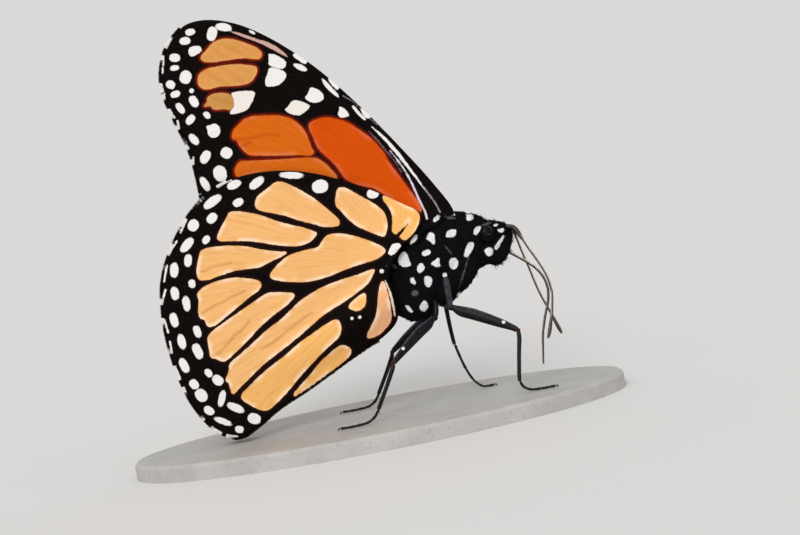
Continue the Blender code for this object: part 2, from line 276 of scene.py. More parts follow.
# u runs out along the wing from its hinge, v towards its front edge.
# A cell is a patch of orange scales with its outline. A spot is (u, v, length, width, angle).
# halo is the colour of the black beside the orange, and rimLight how pale the cells' rims are.
foreWing = dict(
    name="forewing", scales="foreWingScales", halo=(116, 24, 8), rimLight=0.06, base=(16.1, 31), angle=139.9, layer=0,
    grow=dict(deep=0.22, orange=0.24, tan=0.12), cuts=[],
    outline=[(-1.6, 1.2), (3.6, 3.6), (9.6, 5.6), (15.5, 7.4), (21.3, 8.9), (26.8, 10), (32, 10.5), (36.8, 10.5),
        (41, 9.9), (44.8, 8.4), (47.3, 6.2), (48.5, 3), (48, -0.7), (46, -4.3), (42.2, -7.4), (38.8, -9.7),
        (36.1, -12.2), (33.3, -15.4), (31.2, -18.3), (28.6, -18.9), (22.5, -16.2), (14, -12.6), (5.8, -8.4),
        (0.6, -5), (-1.2, -1.6)],
    fringed=((47.3, 6.2), (5.8, -8.4)),
    cells=[
        ("deep", [(23.8, 2.3), (23.3, 3), (22.6, 3.8), (21.7, 4.3), (20.3, 4.75), (19, 5), (16.8, 4.85), (15, 4.65),
            (13.5, 4.25), (12, 3.65), (11, 2.95), (9.5, 2.25), (7.8, 1.5), (6.2, 0.75), (4.8, 0.15), (3.4, -0.5),
            (2.9, -1.1), (3.5, -1.6), (6, -1.7), (9, -1.4), (10.9, -1.4), (12, -1.8), (13.2, -2.1), (14.3, -2.3),
            (15.4, -2.2), (16.8, -1.4), (18.4, -0.85), (20, -0.55), (21, -0.2), (21.9, 0.45), (22.6, 1.05),
            (23.5, 1.6)]),
        ("orange", [(31.2, -0.75), (30, 0), (28.8, 0.7), (27.6, 1.15), (26.5, 1.35), (24.8, 1), (23.8, 0.55),
            (22.7, -0.4), (22, -1.05), (21.4, -1.3), (21.6, -1.8), (22.7, -2.2), (24, -3), (25.4, -3.85),
            (26.8, -4.65), (28.2, -5.4), (29.5, -6.15), (30.5, -6.05), (31.6, -5.6), (32.2, -5.1), (33, -5.3),
            (33.3, -4.4), (33.1, -3.4), (32.7, -2.1), (32, -1.25)]),
        ("orange", [(30.3, -8), (29.3, -7.5), (28, -6.65), (26.7, -5.85), (25.3, -5), (24, -4.15), (22.7, -3.3),
            (21.3, -2.4), (20.5, -2.05), (19.6, -2), (18.5, -2.2), (17.6, -2.5), (16.3, -3), (17.2, -3.3),
            (18.4, -3.7), (19.7, -4.2), (21, -4.6), (22.3, -4.95), (23.2, -5.5), (24.3, -6.15), (25.5, -6.7),
            (26.8, -7.5), (28, -8.5), (29.1, -9.5), (29.7, -10), (30.3, -9.3)]),
        ("orange", [(27.9, -12.6), (24.5, -9.6), (21.2, -7), (17.5, -5.2), (13, -3.6), (7, -2.6), (3.4, -2.3),
            (4.2, -3.6), (9, -6.2), (15, -9.4), (21.4, -12.6), (26.4, -14.6), (28.3, -14.2)]),
        ("tan", [(43, 3.2), (42.7, 4.4), (42.5, 5.6), (42, 6.4), (41.2, 7.1), (40, 7.65), (38.8, 7.9), (38, 8.05),
            (37, 8.2), (36, 8.2), (35.3, 7.9), (35.2, 7.1), (36, 6.7), (37, 6.3), (37.6, 6), (38.4, 5.4), (39.4, 4.6),
            (40.2, 4), (41, 3.4), (42.2, 2.7), (42.9, 2.8)]),
        ("tan", [(42, 0.4), (41.7, 1.3), (41.2, 2), (40.4, 2.7), (39.6, 3.35), (38.6, 4.1), (37.6, 4.7), (36.4, 5.25),
            (35.2, 5.75), (34.75, 5.4), (34.6, 4.4), (34.75, 3.4), (35.3, 2.75), (36, 2.2), (37, 1.5), (38, 0.95),
            (38.8, 0.4), (39.7, -0.65), (40.8, -1), (41.5, -0.65)]),
        ("dusky", [(39.25, -1.8), (38.8, -1.05), (38, -0.4), (37.2, 0), (36.4, 0.2), (35.8, -0.1), (35.3, -0.9),
            (35.4, -1.8), (36.2, -2), (36.9, -2.5), (37.6, -2.95), (38.3, -2.6), (39.1, -3.35), (38.9, -2.4)]),
    ],
    patches=[
        ("cream", [(36.6, 0.4), (35.2, 1.6), (33.4, 2.55), (33.1, 1.4), (33.05, 0), (33.3, -0.8), (34, -1.6),
            (35.1, -2.45), (35.3, -2), (35.1, -1), (35.8, 0), (36.2, 0.25)]),
        ("white", [(34.5, 8.45), (33.4, 8.8), (31.5, 8.75), (31.2, 7.9), (31.5, 7.35), (32.6, 7.1), (33.6, 6.85),
            (34, 7.8)]),
        ("white", [(33.35, 6.6), (32.4, 7), (31, 7.3), (30.4, 6.8), (30.45, 5.8), (30.9, 4.8), (32.4, 3.85),
            (32.9, 4.6), (33.1, 5.8)]),
        ("white", [(26.5, 7.2), (25.2, 7.35), (24.3, 7.15), (23.8, 6.5), (24.3, 5.65), (25.2, 5.1), (26.5, 5.15),
            (26.3, 6)]),
        ("cream", [(27.9, 4.05), (27, 4.5), (25.2, 4.7), (25.1, 4.25), (25.4, 3.35), (25.8, 2.55), (26.8, 2.15),
            (28.25, 2.1), (28, 3)]),
        ("white", [(21.3, 6.75), (20.2, 6.75), (19.2, 6.25), (19.7, 5.65), (20.3, 5.25), (20.9, 5.5), (21, 6.15)]),
        ("white", [(31.2, 10.3), (30.6, 10.6), (29.5, 10.6), (28.8, 10.4), (28.7, 9.8), (29.3, 9.65), (31, 9.85)]),
        ("white", [(30.5, 8.9), (29.4, 9.45), (28.1, 9.25), (28.2, 8.8), (29, 8.5), (30, 8.6)]),
        ("white", [(24.9, 9.5), (24.3, 9.85), (23.2, 9.5), (22.5, 9.1), (22.8, 8.65), (23.8, 8.9)]),
        ("white", [(25.8, 9.1), (25.1, 9.1), (23.7, 8.65), (22.3, 8.2), (21.8, 7.75), (23, 7.8), (24.7, 8.3)]),
        ("white", [(18.4, 8), (17.6, 8.2), (16.5, 8), (16.2, 7.55), (16.7, 7.1), (17.7, 7.4)]),
        ("white", [(19.75, 7.65), (19.4, 7.85), (18.3, 7.45), (16.8, 7), (16.8, 6.7), (17.4, 6.7), (18.7, 7.15)]),
        ("pink", [(41.2, 8.5), (40, 8.95), (38.4, 9.25), (36.8, 9.5), (35.6, 9.85), (34.2, 9.95), (32.6, 9.75),
            (31.3, 9.35), (32.8, 9.25), (34.8, 9.25), (36.8, 9.1), (38.6, 8.8), (40, 8.6)]),
        ("white", [(37.4, -5.7), (36.9, -5.3), (36.5, -4.7), (35.7, -4.7), (35, -5.4), (35.1, -6.4), (35.9, -6.9),
            (36.5, -6.7), (36.9, -6.1)]),
        ("white", [(45.3, 3.3), (44.7, 4), (43.9, 4.4), (43.4, 4), (43.6, 3.2), (44.3, 2.3), (44.9, 2.5)]),
    ],
    spots=[(38.1, 10, 1, 0.4, 0), (42.2, 8.6, 2.4, 1.15, -20), (43.25, 6.85, 2.1, 1.5, 75),
        (46.25, 5.5, 1.45, 1, -39), (46.3, 3.95, 1.6, 1.15, -35), (46.4, 1, 1.6, 1.2, -30),
        (45.7, -0.35, 1.35, 0.8, -39), (43.6, -0.75, 2, 1.75, 80), (41.84, -2.1, 0.7, 0.7, 0),
        (45, -2.85, 1.4, 1.25, 0), (43.7, -3.75, 1.45, 1, -50), (40.75, -3.35, 1.8, 1.25, 30),
        (42.05, -5.25, 1.8, 1, 22), (39.9, -6, 1.65, 1.1, -79), (38.05, -4.2, 1.2, 0.9, 15),
        (32.75, -7.75, 1.75, 1.7, 0), (38, -8.35, 1.9, 1.1, 22), (35.25, -9.85, 2.1, 1.4, 90),
        (32.1, -10.95, 2.4, 2, 43), (33.3, -13.45, 2.4, 1.1, 30), (30.3, -14.6, 2, 1.5, 40), (31, -16.8, 1.8, 1, 30),
        (27.2, -16.6, 1.8, 1.3, 20)],
    marks=[((48.3, 3.4), (48.2, 1.7)), ((48, 0.3), (47.4, -0.8)), ((47.3, -1.2), (46.9, -1.9)),
        ((46.3, -3.5), (45.5, -4.3)), ((45.2, -4.5), (44.8, -5.3)), ((43.4, -6.2), (42.2, -6.9)),
        ((41.5, -7.1), (40.8, -8)), ((39.5, -9.1), (38.1, -10)), ((36.8, -10.8), (36.2, -12)),
        ((34.7, -14.1), (33.3, -15.2)), ((32.8, -16), (31.9, -17.2))],
    # the white, silver, lilac and plum lines along the front edge are painted highlights where the glossy black veins
    # catch the light
    paleAndHighlightStreaks=[  # (u, v, half width): pale lines in the black of the edge
        ("white", [(15.5, 6.4, 0.08), (14.2, 6.1, 0.14), (13, 5.8, 0.2), (11.4, 5.25, 0.24), (9.9, 4.7, 0.24),
            (8.4, 4.05, 0.21), (6.9, 3.4, 0.17), (5.7, 2.9, 0.14), (4.9, 2.5, 0.11), (4, 2.1, 0.09)]),
        ("silver", [(4, 2.1, 0.13), (1.6, 1.05, 0.12), (0.2, 0.15, 0.1)]),
        ("silver", [(21.6, 8.35, 0.05), (19, 8.2, 0.07), (16.4, 7.35, 0.08), (14, 6.95, 0.07), (11, 6.2, 0.04)]),
        ("lilac", [(11.4, 4.6, 0.05), (9.9, 4, 0.1), (8.4, 3.3, 0.13), (6.9, 2.45, 0.14), (5.4, 1.4, 0.15),
            (3.9, 0.25, 0.15), (2.4, -0.75, 0.16), (1.5, -1.65, 0.17)]),
        ("plum", [(15.5, 5.6, 0.08), (13.7, 5, 0.12), (12.2, 4.4, 0.11), (9.9, 3.5, 0.09), (8.1, 2.5, 0.07)]),
    ],
    # lines where the orange is darkened as painted shade along a fold of the wing
    foldShadeLines=[
        [(32.9, -5.5), (31.5, -4.6), (30.2, -3.7), (29.1, -2.6), (28.2, -2), (27, -1.7)],
        [(31.5, -6), (30.4, -4.6)],
    ],
    ribs=[
        [(-1, 1.2), (3.6, 3.2), (9.6, 5.2), (15.5, 7), (21.3, 8.5), (26.8, 9.6), (32, 10.2), (37, 10.2), (41, 9.6)],
        [(0, -0.6), (4.4, 1.3), (8.2, 3.8), (13.3, 5.6), (18.5, 6.7), (24, 7.9), (28, 8.2), (31.5, 9.1), (37, 9.6)],
        [(28.3, 1.9), (31.5, 3.4), (34.6, 6.1), (38.4, 5), (42.7, 2.6), (45, 2.1), (48, 1)],
        [(34.6, 6.1), (35, 8.6), (38.8, 8.4), (42.2, 7.4), (44.6, 6.8), (47, 6.3)],
        [(43, 5.4), (45.2, 5), (48.2, 4.2)],
        [(24, 2.7), (25.8, 2), (30, 1), (33, -0.3)],
        [(32.9, -0.7), (35.1, -2.6), (38.9, -1.2), (41.6, -1.4), (44.6, -1.7), (46.8, -2.5)],
        [(30, 0.6), (33.3, -1.6), (36, -3.4), (39.2, -3.7), (41.5, -4.3), (44.2, -5.6)],
        [(33.4, -5.6), (34.7, -4.4), (37.2, -7.1), (40.2, -8.5)],
        [(30.4, -7), (31.2, -8.9), (33.7, -10.6), (35.6, -12.6)],
        [(30, -10.4), (30.4, -12.7), (32.6, -15.6)],
    ],
)

hindWing = dict(
    name="hindwing", scales="hindWingScales", halo=(38, 14, 10), rimLight=0.62, base=(6.9, 25.2), angle=178.5,
    layer=1, grow=dict(pale=0.1, gold=0.12),
    cuts=[[(-1.4, 3.3, 0.4), (-2.5, 4.25, 0.24), (-3.4, 5, 0.12), (-4.3, 5.8, 0.01)]],
    outline=[(-6.2, 6.4), (-3.7, 8.4), (0.3, 11), (4.3, 13.2), (8.3, 15), (12.4, 16.2), (16.8, 16.7), (21, 16.4),
        (24.8, 15.2), (28.8, 12.1), (32.2, 7.6), (34.3, 3.3), (35.1, -1.1), (35.2, -5.8), (34.6, -10.8),
        (33.3, -15.8), (31, -20), (28.3, -22.3), (26, -22.7), (23.1, -21.3), (19.8, -19.3), (14.8, -17.05),
        (7.9, -13.6), (2.6, -11), (0, -8.6), (0, -5), (0.2, -1.8), (-2, 1.8), (-4.8, 3.9)],
    fringed=((21, 16.4), (2.6, -11)),
    cells=[
        ("pale", [(6.5, 10.1), (5.7, 12.5), (4.5, 12.2), (3.1, 11.05), (1.5, 9.8), (0, 8.5), (-0.7, 7.35),
            (-0.8, 5.75), (-0.3, 4.45), (0, 4.1), (1, 4.6), (3.4, 6.05), (4.7, 7.35), (5.5, 8.65)]),
        ("gold", [(-0.8, 9.6), (-1.1, 10.3), (-3.4, 8.7), (-5.8, 6.8), (-5.6, 5.6), (-4.6, 4.1), (-3, 3), (-2.4, 3.8),
            (-1.4, 4.6), (-1.6, 5.4), (-1.9, 7), (-1.6, 8.3)]),
        ("pale", [(18.5, 11.55), (18, 13), (17, 13.6), (16, 14.1), (14.7, 14.85), (13.6, 14.6), (12, 13.5),
            (10.35, 12.2), (8.7, 10.6), (7.8, 9.45), (6.8, 8.3), (6.3, 7.5), (6.4, 6.95), (7, 6.8), (8.7, 7),
            (10.35, 7.85), (12, 8.5), (13.9, 9.6), (16, 10.4), (17, 10.7)]),
        ("pale", [(22.5, 11.4), (21.5, 11.5), (20.2, 11.1), (18.8, 10.6), (17.6, 10.1), (16, 9.1), (13.6, 8),
            (12, 7.4), (10.7, 6.7), (9.8, 6.15), (11.2, 5.1), (13.1, 4.8), (14.4, 5.1), (16, 5.45), (18, 6.15),
            (20.4, 6.9), (22.5, 7.2), (25.1, 7.6), (24.1, 9.3), (22.6, 11.1)]),
        ("pale", [(27.6, 6.55), (25.9, 6.7), (23.6, 6.5), (20.9, 6), (18.8, 5.1), (16.4, 4.4), (14.5, 4.05),
            (17.6, 3.2), (19.3, 2.6), (20.9, 2.7), (23.3, 2.75), (25.7, 2.35), (27.3, 2), (28.7, 2.2), (28.8, 3.65),
            (28.1, 5.3)]),
        ("pale", [(29.3, 0.25), (28, 1.05), (25.7, 1.55), (23.3, 1.6), (21.5, 1.15), (19.9, 0.6), (19.5, -0.15),
            (20, -0.8), (21.7, -1.6), (22.5, -2.1), (25.1, -3.6), (27.3, -4.95), (28.6, -5.05), (28.8, -3.8),
            (29.5, -3.6), (29.5, -2.3), (29.1, -1)]),
        ("pale", [(28.1, -5.9), (25.7, -4.75), (23.3, -3.6), (20.9, -2.5), (18.9, -1.5), (17, -1.75), (14.5, -2.3),
            (16, -3.6), (18.3, -4.75), (20.1, -5.8), (21.4, -6.75), (23.1, -8.1), (25.1, -9.5), (26.6, -10.5),
            (27.3, -10.6), (28.2, -9.9), (28.9, -9.75), (28.9, -8.1), (28.85, -6.7)]),
        ("pale", [(26.3, -11.2), (24.7, -10.25), (23.2, -9.3), (21.8, -8.4), (20.4, -7.45), (19.2, -6.75), (17.6, -6),
            (16, -4.9), (14.1, -3.5), (11.2, -2.3), (8.7, -1.6), (5.5, -1.2), (3.1, -0.7), (2.1, -0.5), (3.1, -2),
            (3.9, -2.75), (6.6, -4.2), (8.7, -5.05), (11.3, -6.2), (13.5, -7.65), (16.8, -9.6), (20, -11.3),
            (21.7, -12.3), (23.3, -13.45), (25.1, -14.7), (26.5, -15.8), (26.7, -15.4), (26.8, -13.9), (27.3, -13.6),
            (26.4, -12.2)]),
        ("gold", [(25.4, -16.2), (23.3, -14.7), (21.5, -13.45), (20, -12.6), (17.6, -11.3), (15.2, -9.75),
            (12.7, -8.6), (11.2, -7.8), (9, -7), (8.6, -8.4), (9.2, -9.75), (11.1, -10.9), (13.5, -12.65),
            (16, -14.6), (17.9, -16.35), (20, -18), (22, -19.2), (23.6, -18.3), (25.1, -17)]),
        ("gold", [(9, -11), (10.7, -11.95), (12.8, -13.3), (14.4, -14.9), (16, -16.1), (17.5, -17.35), (17.2, -17.75),
            (15.9, -17.2), (14.2, -16.35), (12.4, -15.4), (10.4, -14.3), (8.2, -13.05), (7.7, -12)]),
        ("gold", [(7.3, -5.5), (4.1, -3.6), (4.5, -5.7), (5.8, -6.4)]),
        ("peach", [(1.2, -2.3), (1.9, -3.4), (2.4, -5.2), (3, -7.6), (5.4, -10.8), (3.2, -10.6), (1, -8.8),
            (0.8, -6.6), (0.9, -4.2)]),
        ("pale", [(18.05, 1.2), (16, 2.85), (14.4, 3.65), (12, 3.9), (10, 3.95), (9.1, 5.1), (8.3, 5.65), (6.6, 5.6),
            (4.7, 4.95), (2.6, 3.9), (0.7, 2.75), (0.1, 2.05), (0.5, 1.55), (1.8, 0.9), (3.7, 0.65), (6.3, 0.25),
            (9.5, -0.55), (12.8, -0.8), (16, -0.1), (17.6, 0.4)]),
    ],
    patches=[],
    spots=[(21, 15.5, 2.2, 1.2, -15), (17.6, 15.2, 2.6, 1.3, -29), (24.65, 13.5, 3.1, 1.3, -27),
        (20.85, 12.75, 1.65, 1.2, -20), (28.1, 10.45, 1.8, 1.6, -45), (25.15, 11.05, 1.8, 1.35, -40),
        (29.55, 7.7, 2.6, 1.3, -40), (26.55, 8, 1.4, 1, -40), (32.1, 4.25, 2.3, 1.25, -80),
        (29.8, 5.35, 1.9, 1.15, -75), (32.6, 0.8, 2, 1.25, 90), (29.8, 1.8, 1.25, 1.05, 90),
        (31.15, -1.05, 2.3, 1.15, 90), (33.4, -3.2, 2.2, 1.2, 85), (30.25, -5.5, 1.9, 1.1, 80),
        (32.85, -6.6, 2.3, 1.2, 85), (30.7, -8.45, 2.5, 1.35, 75), (33.1, -10.25, 2.4, 1.25, 75),
        (29.65, -12, 1.4, 1, 60), (28.45, -13.3, 1.8, 1.45, 45), (32.1, -13.3, 1.6, 1.3, 60),
        (31.3, -15.15, 2.1, 1.7, 60), (28.3, -16.15, 2.6, 1, -68), (30.55, -17.65, 1.7, 1.2, 45),
        (26.5, -17.9, 2.7, 1.2, 34), (28.75, -19.6, 2.8, 0.9, 31), (24, -20, 2, 1.6, 30),
        (26.5, -21.25, 1.3, 1.1, 20), (12.2, 15.45, 3.5, 1, 12), (8.25, 13.1, 2.4, 2, 0), (0.6, 10.7, 1.8, 1.4, 0),
        (1.2, -1, 0.65, 0.65, 0), (6.8, -7.3, 0.5, 0.5, 0), (5.6, -7.3, 0.5, 0.5, 0)],
    marks=[((23.5, 15.6), (21.4, 16.4)), ((25.9, 14.4), (28.2, 12.7)), ((29, 11.5), (30.2, 9.7)),
        ((31, 8.5), (32.6, 6.7)), ((33.1, 5.1), (33.9, 2.8)), ((33.9, 1.55), (34.9, -0.55)),
        ((34.9, -2.8), (34.6, -4.9)), ((34.6, -6.3), (34.6, -8.1)), ((34.5, -10.2), (34, -12.2)),
        ((33.7, -13.6), (33.6, -14.6)), ((33.4, -15.5), (32.8, -16.8)), ((32.3, -18), (31.5, -18.9)),
        ((31.2, -19.8), (29.3, -21.3)), ((28.5, -21.8), (27, -22.3))],
    paleAndHighlightStreaks=[  # (u, v, half width): pale lines in the black of the edge
        ("edge", [(0.95, -2.4, 0.08), (0.55, -4.1, 0.14), (0.35, -6, 0.16), (0.35, -8, 0.12)]),
    ],
    # lines where the orange is darkened as painted shade along a fold of the wing
    foldShadeLines=[
        [(28, 3.3), (26.1, 3.8), (23.4, 3.9)],
        [(29.4, -3.1), (27.6, -2.2), (26, -1.8), (24.3, -1.2), (22.2, -0.6)],
        [(28.5, -9.6), (27.3, -9), (25.9, -8), (24.7, -7), (23.7, -6.5), (22.2, -5.2)],
        [(21.1, -9.7), (18.9, -8.9), (17.2, -7.8), (16.1, -7.3), (14.7, -6.5), (12.7, -5.6)],
    ],
    ribs=[
        [(17.5, 10.3), (20, 11.5), (23, 12.1), (26.3, 12.3), (28.6, 12.2)],
        [(24, 7.1), (27, 7), (29.7, 6.5), (32.9, 5.9)],
        [(26.5, 1.8), (30.1, 0.6), (32, -0.6), (34.8, -1.6)],
        [(28.3, -5.5), (30.4, -7), (33, -8.4), (34.5, -9.2)],
        [(26.6, -11), (28.9, -12.6), (31.6, -14.3), (33.6, -15.1)],
        [(25.8, -16), (27.2, -17), (29.7, -18.7), (31.3, -19.4)],
        [(20, -18.4), (22.6, -20.2), (25, -21.6), (26, -22.5)],
        [(-5, 6.6), (-2.6, 8.9), (1, 10.9), (5, 13.2), (9, 14.9), (13, 16), (17.5, 16.3), (21, 16)],
        [(-2.2, 4.45), (-4.1, 5.9)],
    ],
)

wingForm = dict(
    thick=0.16, gap=0.21, insideGap=0.6,  # the sheets, and how far apart the points of the outer and inner net are
    ridge=0.05, rib=0.075, ribWide=0.24, sag=0.07, sagWide=0.9,  # veins stand up, cells sink in
    edgeThin=0.35, edgeReach=0.5,  # how thin the margin is, and how far in from it
    fringe=0.42, fringeInset=0.28, fringeFade=12, fringeFrom=0.3, fringeSteps=(0.0, 0.2, 0.4, 0.6, 0.8),
    fringeLean=0.1, fringeLengths=(0.85, 1.06), fringeLift=0.05,
    bladeWide=0.05, bladeThick=0.03, bladeRoot=0.15, bladePatch=0.0012,
    rest=0.8, step=0.95, flare=0.6, flareFrom=18, flareOver=34,  # how the four wings lie against each other
    thoraxBulge=(13.4, 24.6, 9.12, 4.15), abdomenLine=((8.0, 21.0), (-9.4, 13.2)), abdomenBulge=(4.03, 2.55, 0.35),
    sink=(1.9, 2.5), sinkRamp=(-0.1, 0.8), markWide=0.15, uvStart=(8, 26), uvSize=120,
)

wingTints = dict(
    deep=(208, 78, 4), orange=(211, 101, 18), tan=(214, 150, 78), dusky=(196, 140, 72),
    pale=(238, 182, 116), gold=(238, 180, 104), peach=(236, 176, 130),
    # the lilac, silver and plum colours, and the white where it draws the front edge's lines, are painted highlights
    # on the glossy black
    white=(238, 235, 233), cream=(238, 230, 222), pink=(206, 164, 154), lilac=(220, 209, 216),
    silver=(142, 140, 144), plum=(112, 84, 92), edge=(236, 214, 196),
    upper=(214, 96, 16), black=((4, 2, 2), (22, 12, 10)), rim=(255, 232, 206),
    # shares of red, green and blue that a streak, the grain, the painted shade along a fold and the grain of the white
    # take
    streak=(0.80, 0.66, 0.52), grain=(1.10, 1.12, 1.20), foldShade=(0.66, 0.5, 0.34), dust=(0.86, 0.84, 0.86),
)

# white spots that the body carries, also where the wings' roots lie over it: outlines of (x, z)
bodySpots = [
    [(19.84, 29.76), (20.34, 29.93), (20.89, 29.55), (20.92, 29.31), (20.4, 29.07), (19.77, 29.19)],
    [(16.39, 28.09), (16.99, 28.36), (17.76, 28.29), (17.89, 28.03), (17.67, 27.45), (17.3, 27.13), (16.94, 27.28),
        (16.17, 27.38)],
    [(20.51, 27.6), (20.81, 27.93), (21.53, 28.03), (21.72, 27.83), (21.4, 27.35), (20.74, 26.77), (20.42, 26.91)],
    [(19.3, 25.81), (19.8, 25.94), (20.17, 25.64), (20.03, 25.12), (19.3, 24.17), (18.91, 23.81), (18.32, 23.97),
        (18.42, 24.49), (18.87, 25.19)],
    [(15.87, 23.59), (16.25, 24.14), (16.95, 24.13), (17.32, 23.62), (17.14, 22.87), (16.77, 22.4), (16.3, 22.41),
        (15.91, 22.8)],
    [(21.52, 24.2), (21.85, 24.45), (22.42, 24.58), (22.82, 24.26), (22.81, 23.64), (22.39, 23.25), (22, 23.25),
        (21.69, 23.63)],
    [(23.2, 24.58), (23.66, 24.96), (24.23, 25.47), (24.79, 25.96), (25.04, 25.86), (24.68, 25.38), (24.11, 24.71),
        (23.59, 24.04), (23.17, 24.04), (23.11, 24.29)],
    [(23.61, 27.76), (23.99, 27.87), (24.4, 27.78), (24.24, 27.54), (23.7, 27.54)],
    [(24.09, 27.01), (24.51, 26.93), (25, 27.02), (25.17, 26.77), (24.83, 26.37), (24.53, 26.4), (24.16, 26.7)],
    [(14.64, 22.08), (14.99, 22.23), (15.25, 21.96), (15.22, 21.53), (14.9, 21.25), (14.59, 21.65)],
    [(13.23, 27.77), (13.71, 28.45), (14.12, 28.56), (14.52, 28.22), (14.48, 27.6), (14.5, 27.13), (14.31, 26.74),
        (14.01, 26.76), (13.72, 27.28), (13.31, 27.59)],
    [(8.53, 25.64), (9.09, 26.34), (9.66, 26.46), (9.95, 25.98), (10.03, 25.19), (10.26, 24.21), (9.36, 24.12),
        (8.64, 24.41), (8.41, 25.04)],
    [(12.15, 25.79), (12.55, 26.1), (13.18, 26.14), (13.52, 25.68), (13.29, 25.34), (12.54, 25.22), (12.15, 25.4)],
    [(13.1, 23.89), (13.76, 24.31), (14.48, 24.64), (14.65, 24.29), (14.41, 23.87), (14.59, 23.18), (13.73, 23.35)],
    [(11.06, 23.82), (11.42, 24.29), (11.89, 24.31), (12.19, 23.68), (12.01, 23.29), (11.62, 22.9), (11.22, 22.85),
        (10.96, 23.29)],
    [(9.64, 22.27), (9.99, 22.54), (10.24, 22.22), (10.44, 21.52), (10.23, 21.22), (9.72, 21.55)],
    [(11.82, 22.19), (12.35, 22.27), (12.91, 21.74), (12.82, 21.06), (12.43, 20.48), (11.79, 20.59), (11.68, 21.44)],
    [(10.23, 17.82), (11.06, 18.72), (11.55, 18.25), (11.56, 17.39), (10.87, 16.87), (10.35, 17.21)],
    [(8.11, 18.4), (8.59, 18.38), (9.2, 17.3), (8.88, 17.02), (8.38, 17.66)],
    [(16.27, 18.67), (16.68, 18.83), (16.74, 18.1), (16.33, 17.73), (16.11, 18.05)],
]
# the same on the wings' roots
rootSpots = [
    [(10.81, 27.97), (11.47, 28.58), (12.02, 28.66), (11.78, 27.97), (11.46, 27.69), (10.98, 27.27), (10.69, 27.29)],
    [(7.47, 27.25), (7.95, 27.93), (8.56, 28.03), (9.21, 27.8), (9.27, 27.37), (8.85, 27.1), (8.53, 26.7),
        (7.67, 26.27), (7.05, 26.67), (7.35, 27.04)],
    [(14.72, 30.18), (15.01, 30.7), (15.92, 30.99), (15.86, 30.45), (15.33, 29.98), (14.85, 29.92)],
]
# the part of the wings' roots that the fur of the thorax runs over: (x, z)
rootFur = [(19, 31), (16.6, 30.6), (15.9, 29.9), (14.8, 29.4), (13.4, 29.2), (12.5, 28.6), (12.1, 27.6), (11, 26.9),
    (9.8, 26.8), (8.4, 26.1), (7.4, 24.8), (7.6, 22), (12, 18), (20, 20), (24, 28)]
# fainter grey ones
greySpots = [(17.3, 30.2, 1.5, 0.5, -22), (10, 20, 1, 0.8, -11), (6.2, 25.2, 0.92, 0.55, -56),
    (7.6, 24.6, 0.83, 0.55, -56), (16.2, 25.4, 1.2, 0.22, -60), (18.3, 22.5, 4, 0.18, 62), (22.6, 28.1, 1.3, 0.34, 8)]


def nearest(count, distances):
    # the least of several distances at so many points
    best = np.full(count, farOff)
    for d in distances:
        best = np.minimum(best, d)
    return best


def spotDistance(points, spots, square=2.3):
    # how far each point is outside the nearest rounded spot, below 0 inside it
    def fromSpot(u, v, long, wide, turn):
        c, s = math.cos(math.radians(turn)), math.sin(math.radians(turn))
        du, dv = points[:, 0] - u, points[:, 1] - v
        a, b = (du * c + dv * s) / (long / 2), (dv * c - du * s) / (wide / 2)
        reach = (np.abs(a) ** square + np.abs(b) ** square) ** (1 / square)
        return (reach - 1) * min(long, wide) / 2
    return nearest(len(points), (fromSpot(*spot) for spot in spots))


def insideLine(p, a, b):
    # which points lie inside the closed line whose steps run from a to b
    step = b - a
    crosses = (a[None, :, 1] > p[:, None, 1]) != (b[None, :, 1] > p[:, None, 1])
    with np.errstate(divide="ignore", invalid="ignore"):
        at = a[None, :, 0] + (p[:, None, 1] - a[None, :, 1]) * step[None, :, 0] / step[None, :, 1]
    return (crosses & (p[:, None, 0] < at)).sum(1) % 2 == 1


def outlineDistance(points, corners, rounds=2, cut=0.22, reach=2.5):
    # the same for a closed outline, whose corners are first rounded off, as far as reach outside it
    line = np.array(corners, float)
    for _ in range(rounds):
        after = np.roll(line, -1, axis=0)
        line = np.stack([(1 - cut) * line + cut * after, cut * line + (1 - cut) * after], 1).reshape(-1, 2)
    best = np.full(len(points), farOff)
    near = np.all((points > line.min(0) - reach) & (points < line.max(0) + reach), axis=1)
    p, a, b = points[near], line, np.roll(line, -1, axis=0)
    step = b - a
    d = p[:, None, :] - a[None]
    t = np.clip((d * step).sum(2) / np.maximum((step ** 2).sum(1), 1e-9), 0, 1)
    far = np.sqrt(((d - t[..., None] * step) ** 2).sum(2)).min(1)
    best[near] = np.where(insideLine(p, a, b), -far, far)
    return best


def outlinesDistance(points, outlines):
    # the same for the nearest of several small outlines
    return nearest(len(points), (outlineDistance(points, corners, 1) for corners in outlines))


def marginDistance(points, line, batch=4000):
    # the same for a wing's whole margin, whose points lie close together
    a, b = line, np.roll(line, -1, axis=0)
    found = []
    for k in range(0, len(points), batch):
        p = points[k:k + batch]
        far = np.sqrt(((p[:, None, :] - ((a + b) / 2)[None]) ** 2).sum(2)).min(1)
        found.append(np.where(insideLine(p, a, b), -far, far))
    return np.concatenate(found)


def lineDistance(points, rows):
    # distance to a line whose rows may carry a half width, which is taken off
    line = np.array(rows, float)
    def fromStep(a, b):
        step = b[:2] - a[:2]
        d = points - a[:2]
        t = np.clip((d @ step) / max(float(step @ step), 1e-9), 0, 1)
        far = np.linalg.norm(d - t[:, None] * step, axis=1)
        return far - (a[2] + (b[2] - a[2]) * t) if line.shape[1] == 3 else far
    return nearest(len(points), (fromStep(a, b) for a, b in zip(line[:-1], line[1:])))


def toSide(wing, places):
    # wing places (u, v) as (x, z) beside the body
    a = math.radians(wing["angle"])
    return np.stack([wing["base"][0] + math.cos(a) * places[:, 0] + math.sin(a) * places[:, 1],
                     wing["base"][1] + math.sin(a) * places[:, 0] - math.cos(a) * places[:, 1]], 1)


